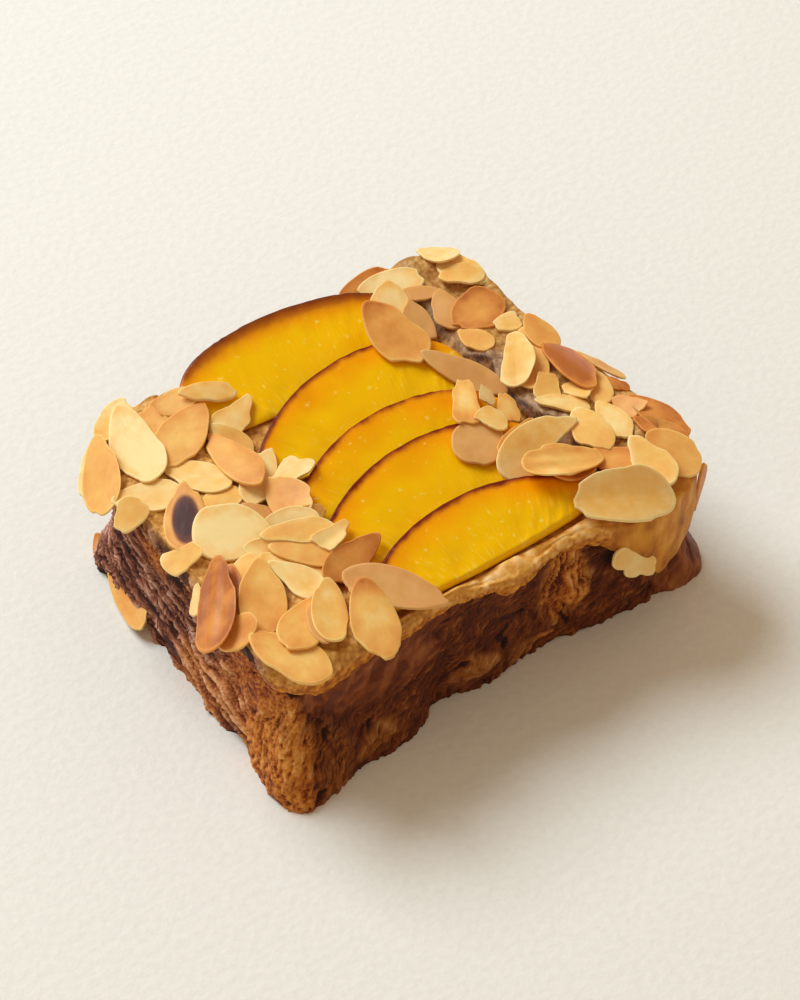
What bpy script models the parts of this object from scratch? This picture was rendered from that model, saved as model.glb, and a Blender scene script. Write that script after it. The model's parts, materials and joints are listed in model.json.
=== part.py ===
"""Bostock: a slice of laminated brioche under almond cream, five peach slices and flaked almonds.

All lengths here are in millimetres, and the last step of each body turns them into metres.
That step also moves the middle of the whole, as seen from above, to the frame's origin, which
lies on the surface that the slice rests on. +Z is up.
+X runs along the long side, and the peach slices lie like shingles that step down towards -Y.
"""

from itertools import combinations

import bmesh
import bpy
import numpy as np

MM = 0.001
MIDDLE = (-1.6, -1.0)       # middle of the whole in plan

# The slice, measured at the rim of its almond cream.
HALF_LENGTH = 57.3
HALF_WIDTH = 45.8
CENTRE_Y = 2.3
CORNER_POWER = 9.0          # of the superellipse: how square the corners are

# The bread under the cream.
BREAD_TOP = 33.2
BREAD_INSET = 1.8           # how far its sides stay inside the cream's rim
SHOULDER_START = 30.0       # where its upper edge begins to round off
SHOULDER_INSET = 1.6
FOOT_HEIGHT = 17.0          # the crust flares out below this height
BREAD_SIDES = 152
BREAD_LEVELS = (0.0, 0.8, 3.0, 6.0, 9.5, 13.0, 16.5, 20.5, 24.5, 28.5, 31.5, 33.2)
STRAND_DEPTH = 1.7          # of the torn strands on its sides

# The almond cream, with a bed for the fruit between two higher bands.
CREAM_TOP = 36.6
LEFT_BAND_RISE = 1.2
RIGHT_BAND_RISE = 1.6
BED_TOP = 35.0
BED_HALF_LENGTH = 31.5
BED_FRONT = -41.5
BED_WALL = 1.5
CREAM_LIP = 32.6            # lowest edge of the cream where it doesn't run down
RIM_ROUNDING = 0.9          # how far inside its rim the cream begins to fall
SKIRT_GAP = 0.5             # between the cream's rim and the bread's side
GRID_STEP = 5.5

# The peach slices: skins are arcs that bulge towards +Y, faces slope down to the stone's side.
PEACH_END = 30.5            # they reach from -X to +X by this much
PEACH_CREST = 43.0          # height of each skin at the top of its arc
PEACH_SLOPE = 0.30
PEACH_TURN = np.radians(-4)
PEACH_THINNING = 0.3        # share of their height that is lost at the ends
PEACH_SIDES = 40
PEACH_END_POWER = 10        # how blunt their ends are
GAP = 0.35                  # between pieces that touch
PEACHES = (
    # crest x, crest y, skin radius, width
    (-6.0, 47.2, 75.0, 23.0),
    (5.5, 25.8, 47.5, 21.5),
    (2.5, 7.2, 47.0, 20.5),
    (2.3, -4.7, 51.0, 21.5),
    (-0.2, -24.2, 51.0, 16.3),
)

# Flaked almonds.
FLAKE_THICKNESS = 1.0
FLAKE_SIDES = 10
FLAKE_TAPER = 0.25          # how much narrower the pointed half is
FLAKE_GRIP = 0.45           # how deep a flake sinks into what carries it
FLAKE_STEEPEST = 0.75
FLAKE_CLEARANCE = 0.45      # over fruit

# The flakes that lie on top, in the order in which they came down, so later ones rest on earlier
# ones: x, y, length, width, and the turn that the pointed end faces.
FLAKES = (
    (-46, 42, 14, 7, -150), (-57.2, 33, 13, 6, 60), (-32, 38.5, 11, 6, 150), (-39.5, 35, 15, 7, 75),
    (-23, 27.5, 14, 8, 30), (-26.5, 23, 11, 6, 110), (-39, 8, 10, 7, 180), (-39.5, 17, 16.5, 8.5, 120),
    (-51.5, 18, 15.5, 8, 155), (-57.5, 16, 8.5, 6, -35), (-28.5, 8.5, 16, 7, 40), (-30.5, 16, 22, 8, 90),
    (-35.5, 29, 19.5, 10.5, 30), (-46, 32.5, 24, 11, 75), (-56.5, 30, 20, 8, 65),
    (-24.5, 35.5, 13, 4.5, 155), (-33, -1.5, 11, 6, -35), (-48.5, 7.5, 19.5, 9, 60),
    (-55.5, -1.5, 10, 6, 120), (-43, -2.5, 17, 13, -25), (-22.5, 4.5, 10, 8, -30),
    (-27.5, -1, 13.5, 8, 95), (-40.5, -10.5, 8, 5, 130), (-25.5, -8, 6, 3.5, -15),
    (-30.5, -7.5, 12, 5, 140), (-36.5, -17.5, 15.5, 6, 130), (-32.5, -16.5, 16.5, 6.5, 140),
    (-31.5, -11.5, 16.5, 6, 155), (-26.5, -16.5, 10, 6, 10), (-25.5, -23, 16, 6.5, 10),
    (-38.5, -21.5, 14, 7, 115), (-47.5, -14.5, 13.5, 7, 45), (-52.5, -17, 15, 6, 60),
    (-48, -22, 20, 10, 60), (-57.5, -26.5, 8.5, 7, 150), (-57.8, -11.2, 6.5, 3.6, 50),
    (-57, -17.5, 21.5, 8.5, 55), (-52, -38.5, 19, 10, 115), (-44.5, -33, 17, 9, 35),
    (-40.5, -33.5, 15, 6, 60), (-38, -33, 18, 7.5, 60), (-23.5, -36.5, 22, 9, -45),
    (-31.5, -40, 18, 10, 70), (25.5, 45, 17, 6.5, 168), (30, 42, 15, 7, 150), (33.5, 35, 10, 5, 155),
    (46.5, 36, 12.5, 8, -65), (44.5, 43.5, 10, 8.5, 130), (45, 34.5, 11, 6.5, 155),
    (25.5, 35.5, 11, 9.5, 65), (28, 28, 12, 7, 75), (36, 28, 11, 7, 70), (41.5, 23.5, 14, 11, 180),
    (18.8, 24.4, 18, 12, 95), (36, 16.5, 9, 6, 115), (45, 16.5, 8, 5, 170), (27, 8.5, 20, 6.5, 125),
    (42, 4.5, 20, 8.5, 60), (39, 5.5, 18, 8.5, 55), (49.5, 10, 11.5, 7.5, 80), (55.5, -5.5, 13, 5, 112),
    (53.5, -13.5, 7, 4, 105), (40, -5.5, 10, 7, 60), (49.5, -13, 9, 5, 65), (39.5, -12, 12, 5.5, 135),
    (45, -10.5, 8, 6.5, 120), (47.5, -3.5, 18, 6.5, 95), (55, -27, 17.5, 7, 100), (51.5, -21, 9, 5, 110),
    (46, -22.5, 13.5, 6, 85), (52.5, -31.5, 14, 6, 110), (50.7, -38, 13.5, 8, 110),
    (40.5, -35.5, 19, 9, 125), (44.5, -38, 15.5, 8, 90), (39.5, -22.5, 14, 9, 80),
    (17, -13.5, 15, 10.5, -10), (24.5, -16.5, 13, 6, 15), (26.5, -20.5, 23, 9.5, 10), (29, -31, 13, 6, 0),
    (27, -29, 20, 11, -5), (19.5, -2.5, 17, 7, 60), (25, -2.5, 6, 4, 55), (28, -6.5, 9, 6, 65),
    (21, -10, 7, 7, 160), (32, -43.2, 24, 10.5, 155),
)
# Flakes that stick to a side: middle, length, width, direction of the long axis, facing.
SIDE_FLAKES = (
    ((57.5, -40.0, 25.0), 15.0, 8.0, (0.0, 0.1, -1.0), (0.6, -0.8, 0.2)),
    ((33.5, -48.2, 22.5), 15.0, 7.5, (0.75, -0.1, -0.65), (0.0, -1.0, 0.15)),
)
FOOT_FLAKES = (
    ((-56.6, 22.0, 3.2), 18.0, 6.5, (0.15, 1.0, 0.0), (-0.6, 0.05, 0.8)),
    ((-53.0, 39.0, 3.0), 9.0, 5.0, (0.25, 1.0, 0.0), (-0.6, 0.1, 0.8)),
)

# Places where an outline stands out from the plain slice: x, y, reach, spread.
SIDE_LOBES = (
    (57, 14, -6.0, 16.0),
    (57, 42, -4.0, 10.0),
    (-25, 48, -3.5, 20.0),
    (-57, 46, -4.0, 7.0),
)
FOOT_LOBES = (
    (-52, -41, 8.7, 8.0),
    (-51.5, -42, 2.6, 3.0),
    (-38, -43, 3.3, 6.5),
    (-27, -43, 3.9, 5.5),
    (-20.5, -43, 0.7, 3.0),
    (-16, -43, -1.4, 3.0),
    (-3, -43, 1.7, 5.5),
    (10.5, -43, -0.7, 3.0),
    (33, -43, 2.1, 8.5),
    (53.5, -43, 2.1, 3.6),
    (58, -36, 7.3, 9.0),
    (-59.5, -16, 3.0, 7.5),
    (-59.5, 4, 2.0, 9.0),
    (-58, 26, 2.2, 8.0),
    (-56, 44, 6.5, 7.0),
)
RIM_LOBES = (
    (-54, -44, 3.0, 8.0),
    (-18, -44, -1.0, 5.0),
    (3, -44, 2.5, 5.0),
    (37, -44, 5.5, 8.0),
    (52, -44, 2.0, 6.0),
    (-57, 14, -1.5, 10.0),
    (-57, -12, -1.0, 8.0),
)
# Where the cream's upper face swells: x, y, rise, spread.
CREAM_RISES = ((35, 46, 2.2, 8.0),)
# Places where the cream runs down the side: x, y, fall, spread.
RUNS = (
    (41, -44, 18.0, 8.0),
    (55, -42, 9.0, 8.0),
    (-48, -44, 4.5, 6.0),
    (3, -44, 3.0, 4.0),
    (-57, 8, -0.8, 16.0),
)


def smoothstep(start, end, value):
    """Rise smoothly from 0 at start to 1 at end."""
    ratio = np.clip((value - start) / (end - start), 0.0, 1.0)
    return ratio * ratio * (3 - 2 * ratio)


def lobes_at(lobes, x, y):
    """Sum of the rounded lobes of a list at a place in plan."""
    total = 0.0 * x
    for lobe_x, lobe_y, reach, spread in lobes:
        distance_squared = (x - lobe_x) ** 2 + (y - lobe_y) ** 2
        total = total + reach * np.exp(-distance_squared / (2 * spread ** 2))
    return total


def slab_point(u, v, offset=0.0, lobes=(), lobe_share=1.0):
    """Place in plan of a point of the unit square, laid out on the rounded slab.

    Offset and lobes move it outwards. The slice's own lobes spread it from the middle.
    """
    power = CORNER_POWER
    edge = np.maximum(np.abs(u), np.abs(v))
    rounding = edge / np.maximum((np.abs(u) ** power + np.abs(v) ** power) ** (1 / power), 1e-9)
    across = u * rounding
    along = v * rounding
    x = HALF_LENGTH * across
    y = CENTRE_Y + HALF_WIDTH * along
    normal_x = np.sign(across) * np.abs(across) ** (power - 1) / HALF_LENGTH
    normal_y = np.sign(along) * np.abs(along) ** (power - 1) / HALF_WIDTH
    length = np.maximum(np.hypot(normal_x, normal_y), 1e-9)
    reach = offset + lobe_share * lobes_at(lobes, x, y)
    swell = smoothstep(0.6, 1, edge) * lobes_at(SIDE_LOBES, x, y)
    x = x + swell * across + reach * normal_x / length
    y = y + swell * along + reach * normal_y / length
    return x, y


def square_rim(turn):
    """Point of the unit square's edge, for turns from 0 to 1, counter-clockwise."""
    side = np.floor(turn * 4).astype(int) % 4
    step = 2 * (turn * 4 - np.floor(turn * 4)) - 1
    u = np.choose(side, (step, 1 + 0 * step, -step, -1 + 0 * step))
    v = np.choose(side, (-1 + 0 * step, step, 1 + 0 * step, -step))
    return u, v


def cream_height(x, y):
    """Height of the almond cream's upper face."""
    z = CREAM_TOP + LEFT_BAND_RISE * smoothstep(-30.5, -36, x)
    z = z + RIGHT_BAND_RISE * smoothstep(31.5, 36, x) * smoothstep(-44, -36, y)
    z = z + lobes_at(CREAM_RISES, x, y)
    z = z + 0.35 * np.sin(x / 2.9) * np.sin(y / 3.3 + 1) + 0.2 * np.sin(x / 1.9 + y / 2.3)
    in_bed = 1 - smoothstep(BED_HALF_LENGTH, BED_HALF_LENGTH + BED_WALL, np.abs(x))
    in_bed = in_bed * smoothstep(BED_FRONT, BED_FRONT + 0.7, y)
    behind_fruit = y - peach_skin_y(0, x)
    in_bed = in_bed * (1 - smoothstep(3.5, 6, behind_fruit) * smoothstep(6, 14, x))
    return z * (1 - in_bed) + BED_TOP * in_bed


def beyond_rim(x, y):
    """How far a place in plan lies outside the top of the cream's rounded rim."""
    lobes = SIDE_LOBES + RIM_LOBES
    side_x = HALF_LENGTH * np.sign(x)
    side_y = CENTRE_Y + HALF_WIDTH * np.sign(y - CENTRE_Y)
    beyond_x = np.abs(x) - HALF_LENGTH + RIM_ROUNDING - lobes_at(lobes, side_x, y)
    beyond_y = np.abs(y - CENTRE_Y) - HALF_WIDTH + RIM_ROUNDING - lobes_at(lobes, x, side_y)
    return np.hypot(np.maximum(beyond_x, 0), np.maximum(beyond_y, 0))


def peach_skin_y(index, x):
    """Plan outline of a peach slice's skin."""
    crest_x, crest_y, radius, _ = PEACHES[index]
    return crest_y - radius + np.sqrt(radius ** 2 - np.clip(x - crest_x, -radius, radius) ** 2)


def peach_stone_y(index, x):
    """Plan outline of a peach slice's inner edge."""
    _, crest_y, _, width = PEACHES[index]
    return crest_y - width + 1.5 * (x / PEACH_END) ** 2


def peach_height(index, x, y):
    """Height of a peach slice's sloping face."""
    crest_x, crest_y, _, _ = PEACHES[index]
    down = (x - crest_x) * np.sin(PEACH_TURN) - (y - crest_y) * np.cos(PEACH_TURN)
    thick = PEACH_CREST - PEACH_SLOPE * down - BED_TOP
    return BED_TOP + thick * (1 - PEACH_THINNING * (x / PEACH_END) ** 6)


def peach_outline(index, margin=0.0, sides=PEACH_SIDES):
    """Plan outline of a slice: two arcs whose ends are rounded off."""
    angle = 2 * np.pi * (np.arange(sides) + 0.5) / sides
    across = np.sign(np.cos(angle)) * np.abs(np.cos(angle)) ** 0.55
    x = (PEACH_END + margin) * across
    ends = (1 - np.abs(across) ** PEACH_END_POWER) ** 0.45
    skin = peach_skin_y(index, x) + margin
    stone = peach_stone_y(index, x) - margin
    y = (skin + stone) / 2 + np.sign(np.sin(angle)) * (skin - stone) / 2 * ends
    return x, y


def peach_covers(index, x, y, margin):
    """Whether a place in plan lies on a slice, or within a margin of it."""
    across = np.clip(x / (PEACH_END + margin), -1, 1)
    ends = (1 - np.abs(across) ** PEACH_END_POWER) ** 0.45
    skin = peach_skin_y(index, x) + margin
    stone = peach_stone_y(index, x) - margin
    inside = np.abs(y - (skin + stone) / 2) <= (skin - stone) / 2 * ends
    return inside & (np.abs(x) < PEACH_END + margin)


class Heights:
    """Map of the top of everything laid down so far, on which the next flake comes to rest."""

    def __init__(self):
        self.x, self.y = np.meshgrid(np.arange(-72.0, 73.0), np.arange(-62.0, 63.0), indexing="ij")
        self.z = cream_height(self.x, self.y) - 2.0 * beyond_rim(self.x, self.y)
        for index in range(len(PEACHES)):
            on_slice = peach_covers(index, self.x, self.y, 0.8)
            face = peach_height(index, self.x, self.y) + FLAKE_CLEARANCE + FLAKE_GRIP
            self.z = np.where(on_slice, np.maximum(self.z, face), self.z)

    def rest(self, flake):
        """Lowest plane through a flake's middle that sinks no deeper than the grip anywhere."""
        x, y, length, width, turn = flake
        inside = flake_covers(flake, self.x, self.y)
        all_x, all_y, all_z = self.x[inside], self.y[inside], self.z[inside]
        angle = 2 * np.pi * np.arange(12) / 12
        rim_x, rim_y = flake_plan(flake, angle, 0.85)
        nearest = [np.argmin(np.hypot(all_x - px, all_y - py)) for px, py in zip(rim_x, rim_y)]
        chosen = sorted(set(nearest) | {int(np.argmax(all_z))})
        for _ in range(12):
            plane = resting_plane(all_x[chosen] - x, all_y[chosen] - y, all_z[chosen])
            sunk = all_z - plane[0] - plane[1] * (all_x - x) - plane[2] * (all_y - y)
            deepest = int(np.argmax(sunk))
            if sunk[deepest] < 0.02 or deepest in chosen:
                break
            chosen = chosen + [deepest]
        steepness = np.hypot(plane[1], plane[2])
        if steepness > FLAKE_STEEPEST:
            plane[1:] *= FLAKE_STEEPEST / steepness
            plane[0] = np.max(all_z - plane[1] * (all_x - x) - plane[2] * (all_y - y))
        plane[0] -= FLAKE_GRIP
        top = plane[0] + plane[1] * (self.x - x) + plane[2] * (self.y - y) + FLAKE_THICKNESS
        self.z = np.where(inside, np.maximum(self.z, top), self.z)
        return plane


def resting_plane(x, y, z):
    """Lowest plane over the origin that stays above all points: it touches three of them."""
    triples = np.array(list(combinations(range(len(x)), 3)))
    terms = np.stack([np.ones(len(x)), x, y], axis=1)
    solvable = np.abs(np.linalg.det(terms[triples])) > 0.5
    triples = triples[solvable]
    planes = np.linalg.solve(terms[triples], z[triples][..., None])[..., 0]
    above = (planes @ terms.T - z > -1e-4).all(axis=1)
    planes = planes[above]
    if len(planes) == 0:
        return np.array([z.max(), 0.0, 0.0])
    return planes[np.argmin(planes[:, 0])].copy()


def flake_plan(flake, angle, scale=1.0):
    """Plan outline of an almond flake, pointed at the end that its turn faces."""
    x, y, length, width, turn = flake
    along = scale * length / 2 * np.cos(angle)
    across = scale * width / 2 * np.sin(angle) * (1 - FLAKE_TAPER * np.cos(angle))
    cos_turn, sin_turn = np.cos(np.radians(turn)), np.sin(np.radians(turn))
    return x + along * cos_turn - across * sin_turn, y + along * sin_turn + across * cos_turn


def flake_covers(flake, x, y):
    """Whether a place in plan lies under a flake."""
    flake_x, flake_y, length, width, turn = flake
    cos_turn, sin_turn = np.cos(np.radians(turn)), np.sin(np.radians(turn))
    along = ((x - flake_x) * cos_turn + (y - flake_y) * sin_turn) / (length / 2)
    across = ((y - flake_y) * cos_turn - (x - flake_x) * sin_turn) / (width / 2)
    across = across / (1 - FLAKE_TAPER * np.clip(along, -1, 1))
    return along ** 2 + across ** 2 <= 1.0


# ---- bodies ----

def clear_scene():
    """Start from an empty scene."""
    for leftover in list(bpy.data.objects):
        bpy.data.objects.remove(leftover, do_unlink=True)


def finish(name, colour, roughness):
    """Plain Principled material, with its colour in linear values."""
    material = bpy.data.materials.new(name)
    material.use_nodes = True
    shader = material.node_tree.nodes["Principled BSDF"]
    shader.inputs["Base Color"].default_value = (*colour, 1.0)
    shader.inputs["Roughness"].default_value = roughness
    shader.inputs["Metallic"].default_value = 0.0
    return material


def collection(name):
    """New collection in the scene."""
    group = bpy.data.collections.new(name)
    bpy.context.scene.collection.children.link(group)
    return group


def add_body(name, mesh_builder, group, material):
    """Object in metres from a bmesh in millimetres, its faces turned outwards."""
    bmesh.ops.recalc_face_normals(mesh_builder, faces=mesh_builder.faces)
    bmesh.ops.translate(mesh_builder, vec=(-MIDDLE[0], -MIDDLE[1], 0), verts=mesh_builder.verts)
    bmesh.ops.scale(mesh_builder, vec=(MM, MM, MM), verts=mesh_builder.verts)
    mesh = bpy.data.meshes.new(name)
    mesh_builder.to_mesh(mesh)
    mesh_builder.free()
    mesh.materials.append(material)
    body = bpy.data.objects.new(name, mesh)
    group.objects.link(body)
    return body


def add_ring(builder, x, y, z):
    """Closed row of vertices."""
    return [builder.verts.new(place) for place in zip(x, y, z + 0 * x)]


def join_rings(builder, lower, upper):
    """Band of faces between two rows of the same length."""
    count = len(lower)
    for here in range(count):
        after = (here + 1) % count
        builder.faces.new((lower[here], lower[after], upper[after], upper[here]))


def strands(turn, z):
    """Torn strands of crumb on the bread's sides, from -1 to 1."""
    around = 2 * np.pi * turn
    steep = 0.5 * np.sin(46 * around + z / 2.6) + 0.3 * np.sin(67 * around - z / 1.9 + 1.7)
    return steep + 0.2 * np.sin(z / 1.3 + 3 * np.sin(9 * around))


def make_bread(group, material):
    """The slice of laminated bread: torn sides, a rounded shoulder, and feet where its crust flares."""
    rng = np.random.default_rng(4)
    turn = (np.arange(BREAD_SIDES) + 0.5) / BREAD_SIDES
    u, v = square_rim(turn)
    builder = bmesh.new()
    rings = []
    for z in BREAD_LEVELS:
        crag = rng.uniform(-0.45, 0.0, BREAD_SIDES)
        shoulder = SHOULDER_INSET * smoothstep(SHOULDER_START, BREAD_TOP, z)
        relief = STRAND_DEPTH * 0.5 * (strands(turn, z) - 1) + crag
        offset = relief - BREAD_INSET - shoulder
        foot = 1 - smoothstep(0, FOOT_HEIGHT, z)
        x, y = slab_point(u, v, offset, FOOT_LOBES, foot)
        rings.append(add_ring(builder, x, y, z))
    for lower, upper in zip(rings, rings[1:]):
        join_rings(builder, lower, upper)
    builder.faces.new(rings[0])
    builder.faces.new(rings[-1])
    return add_body("bread", builder, group, material)


def peach_underside(index, x, y):
    """Lower face of a slice: clear of the slice behind it and of the cream."""
    lowest = BED_TOP + GAP + 0 * x
    if index == 0:
        return lowest
    crest_x, crest_y, _, _ = PEACHES[index]
    start = peach_height(index - 1, crest_x, crest_y) + GAP + 0.2
    down = (PEACH_CREST - peach_height(index, x, y)) / PEACH_SLOPE
    return np.maximum(start - 0.25 * down, lowest)


def make_peach(index, group, material):
    """One peach slice: rounded skin, sloping cut face, thin inner edge."""
    builder = bmesh.new()
    rings = []
    for margin, share in ((-0.8, 0.0), (0.3, 0.5), (0.0, 0.9), (-0.8, 1.0)):
        x, y = peach_outline(index, margin)
        under = peach_underside(index, x, y)
        z = under + share * (peach_height(index, x, y) - under)
        rings.append(add_ring(builder, x, y, z))
    for lower, upper in zip(rings, rings[1:]):
        join_rings(builder, lower, upper)
    builder.faces.new(rings[0])
    builder.faces.new(rings[-1])
    return add_body(f"peach_{index + 1}", builder, group, material)


def lines_between(marks, step):
    """Grid lines through all marks, no further apart than a step."""
    lines = [marks[0]]
    for start, end in zip(marks, marks[1:]):
        count = int(np.ceil((end - start) / step))
        lines += list(np.linspace(start, end, count + 1)[1:])
    return np.array(lines)


def make_cream(group, material):
    """The almond cream: a sheet with a bed for the fruit, whose rim runs down over the bread."""
    wall = BED_HALF_LENGTH + BED_WALL
    rim = HALF_LENGTH - 2.0
    bed = BED_HALF_LENGTH
    across = lines_between((-HALF_LENGTH, -rim, -wall, -bed, bed, wall, rim, HALF_LENGTH), GRID_STEP)
    front, back = CENTRE_Y - HALF_WIDTH, CENTRE_Y + HALF_WIDTH
    along = lines_between((front, front + 1.0, BED_FRONT, BED_FRONT + 0.7, back - 2.0, back), GRID_STEP)
    lobes_start = (CENTRE_Y - BED_FRONT) / HALF_WIDTH
    u_lines = across / HALF_LENGTH
    v_lines = (along - CENTRE_Y) / HALF_WIDTH
    builder = bmesh.new()
    bmesh.ops.create_grid(builder, x_segments=len(u_lines) - 1, y_segments=len(v_lines) - 1, size=1)
    rim_places = {}
    for vertex in builder.verts:
        column = round((vertex.co.x + 1) / 2 * (len(u_lines) - 1))
        row = round((vertex.co.y + 1) / 2 * (len(v_lines) - 1))
        u, v = u_lines[column], v_lines[row]
        edge = max(abs(u), abs(v))
        x, y = slab_point(u, v, -RIM_ROUNDING * (edge == 1), RIM_LOBES, smoothstep(lobes_start, 1, edge))
        z = cream_height(x, y) - 0.4 * (edge == 1)
        vertex.co = (x, y, z)
        if edge == 1:
            rim_places[vertex] = (u, v)
    ordered = sorted(rim_places, key=lambda vertex: rim_turn(*rim_places[vertex]))
    u = np.array([rim_places[vertex][0] for vertex in ordered])
    v = np.array([rim_places[vertex][1] for vertex in ordered])
    rim_x, rim_y = slab_point(u, v)
    lip = CREAM_LIP - lobes_at(RUNS, rim_x, rim_y)
    bulge_height = CREAM_TOP - 1.4
    outer = (
        (0.5, 1.0, bulge_height + 0 * lip),
        (0.8, 0.9, (lip + bulge_height) / 2),
        (0.3, 0.6, lip + 0.6),
        (-0.4, 0.3, lip),
    )
    shoulder_z = BREAD_TOP - 0.6
    inner = (
        (SKIRT_GAP - BREAD_INSET, 0.0, lip),
        (SKIRT_GAP - BREAD_INSET - 0.05, 0.0, lip + 0.85 * (shoulder_z - lip)),
        (SKIRT_GAP - BREAD_INSET - 0.6, 0.0, shoulder_z + 0 * lip),
        (SKIRT_GAP - BREAD_INSET - SHOULDER_INSET, 0.0, BREAD_TOP + SKIRT_GAP + 0 * lip),
    )
    ring = ordered
    for offset, share, z in outer + inner:
        x, y = slab_point(u, v, offset, RIM_LOBES, share)
        below = add_ring(builder, x, y, z)
        join_rings(builder, below, ring)
        ring = below
    builder.faces.new(ring)
    return add_body("almond_cream", builder, group, material)


def rim_turn(u, v):
    """Turn of a point on the unit square's edge, counter-clockwise from its lower left corner."""
    if v == -1 and u < 1:
        return (u + 1) / 8
    if u == 1 and v < 1:
        return (v + 3) / 8
    if v == 1 and u > -1:
        return (5 - u) / 8
    return (7 - v) / 8


def make_flake(name, place, group, material):
    """One almond flake: a prism on the egg-shaped outline, whose vertices a function puts in place."""
    builder = bmesh.new()
    bmesh.ops.create_cone(
        builder, cap_ends=True, segments=FLAKE_SIDES, radius1=1, radius2=1, depth=1)
    for vertex in builder.verts:
        angle = np.arctan2(vertex.co.y, vertex.co.x)
        vertex.co = place(angle, vertex.co.z + 0.5)
    return add_body(name, builder, group, material)


def lying_flakes(group, material):
    """The flakes on top, each on three points of what lies below it."""
    heights = Heights()
    flakes = []
    for number, flake in enumerate(FLAKES):
        middle, slope_x, slope_y = heights.rest(flake)

        def place(angle, upper):
            x, y = flake_plan(flake, angle)
            z = middle + slope_x * (x - flake[0]) + slope_y * (y - flake[1])
            return x, y, z + upper * FLAKE_THICKNESS

        flakes.append(make_flake(f"flake_{number}", place, group, material))
    return flakes


def stuck_flakes(rows, group, material):
    """The flakes that stick to a side."""
    flakes = []
    for number, (middle, length, width, along, facing) in enumerate(rows):
        along = np.array(along) / np.linalg.norm(along)
        facing = np.array(facing) - np.dot(facing, along) * along
        facing = facing / np.linalg.norm(facing)
        across = np.cross(facing, along)

        def place(angle, upper):
            reach, spread = flake_plan((0, 0, length, width, 0), angle)
            thickness = (upper - 0.5) * FLAKE_THICKNESS
            return np.array(middle) + reach * along + spread * across + thickness * facing

        flakes.append(make_flake(f"stuck_{number}", place, group, material))
    return flakes


def largest_shell(mesh):
    """Keep a mesh's main body: scraps that touch nothing go, and sealed hollows close."""
    builder = bmesh.new()
    builder.from_mesh(mesh)
    unseen = set(builder.verts)
    shells = []
    while unseen:
        front = [unseen.pop()]
        shell = list(front)
        while front:
            vertex = front.pop()
            for edge in vertex.link_edges:
                other = edge.other_vert(vertex)
                if other in unseen:
                    unseen.remove(other)
                    front.append(other)
                    shell.append(other)
        shells.append(shell)
    main = max(shells, key=len)
    for shell in shells:
        if shell is not main:
            bmesh.ops.delete(builder, geom=shell, context="VERTS")
    builder.to_mesh(mesh)
    builder.free()


def fuse(body, pieces):
    """Union of a body with a collection of pieces, applied, after which the pieces are removed."""
    group = collection(f"{body.name}_pieces")
    for piece in pieces:
        for holder in list(piece.users_collection):
            holder.objects.unlink(piece)
        group.objects.link(piece)
    union = body.modifiers.new("union", "BOOLEAN")
    union.operation = "UNION"
    union.operand_type = "COLLECTION"
    union.collection = group
    union.solver = "EXACT"
    evaluated = body.evaluated_get(bpy.context.evaluated_depsgraph_get())
    mesh = bpy.data.meshes.new_from_object(evaluated)
    body.modifiers.remove(union)
    body.data = mesh
    mesh.name = body.name
    for piece in pieces:
        bpy.data.objects.remove(piece, do_unlink=True)
    bpy.data.collections.remove(group)
    largest_shell(mesh)


def main():
    """Make the whole slice."""
    clear_scene()
    bostock = collection("bostock")
    crumb = finish("toasted_crumb", (0.16, 0.065, 0.025), 0.7)
    cream = finish("baked_almond_cream", (0.55, 0.28, 0.09), 0.5)
    fruit = finish("peach_flesh", (0.80, 0.38, 0.01), 0.3)
    bread = make_bread(bostock, crumb)
    fuse(bread, stuck_flakes(FOOT_FLAKES, bostock, cream))
    topping = make_cream(bostock, cream)
    flakes = lying_flakes(bostock, cream) + stuck_flakes(SIDE_FLAKES, bostock, cream)
    fuse(topping, flakes)
    for index in range(len(PEACHES)):
        make_peach(index, bostock, fruit)


main()
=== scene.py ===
"""Bostock: the looks of a slice of laminated brioche under almond cream, peach and flaked almonds.

Lengths are in millimetres until a mesh is made, which turns them into metres. The slice's own
coordinates are those of its driving sizes below: +X along the long side, +Y towards the highest
peach slice, +Z up from the surface that it rests on. Each piece is made where the solid that it
stands for lies, from the same sizes, with the fine relief that the solid leaves out.
"""

import json
from functools import partial
from itertools import combinations, product

import bpy
import numpy as np
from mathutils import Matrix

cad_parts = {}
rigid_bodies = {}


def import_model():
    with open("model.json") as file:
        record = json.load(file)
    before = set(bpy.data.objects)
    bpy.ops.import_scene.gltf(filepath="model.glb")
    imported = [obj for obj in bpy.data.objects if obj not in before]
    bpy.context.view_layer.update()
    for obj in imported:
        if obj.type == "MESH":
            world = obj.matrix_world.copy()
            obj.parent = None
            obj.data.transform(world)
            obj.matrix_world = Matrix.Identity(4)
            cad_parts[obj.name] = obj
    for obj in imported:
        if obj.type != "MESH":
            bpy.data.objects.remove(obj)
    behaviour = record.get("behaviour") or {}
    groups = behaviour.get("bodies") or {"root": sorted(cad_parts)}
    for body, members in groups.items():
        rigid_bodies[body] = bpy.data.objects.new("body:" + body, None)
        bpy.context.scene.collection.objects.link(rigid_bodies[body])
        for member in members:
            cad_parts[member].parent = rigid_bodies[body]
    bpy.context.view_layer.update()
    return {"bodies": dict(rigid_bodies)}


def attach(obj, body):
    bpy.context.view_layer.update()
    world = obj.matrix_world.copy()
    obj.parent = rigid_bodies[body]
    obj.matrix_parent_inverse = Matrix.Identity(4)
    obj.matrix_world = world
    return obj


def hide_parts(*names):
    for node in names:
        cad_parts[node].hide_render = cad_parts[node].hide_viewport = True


bl_info = {
    "name": "Bostock",
    "version": (1, 0, 0),
    "blender": (4, 5, 0),
    "location": "3D View > Sidebar > Bostock",
    "description": "Makes a bostock with peach slices and flaked almonds, and a stage for it",
    "category": "Add Mesh",
}

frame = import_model()
BODY = sorted(frame["bodies"])[0]

MM = 0.001
MIDDLE = (-1.6, -1.0)       # middle of the whole in plan: the frame's origin

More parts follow.
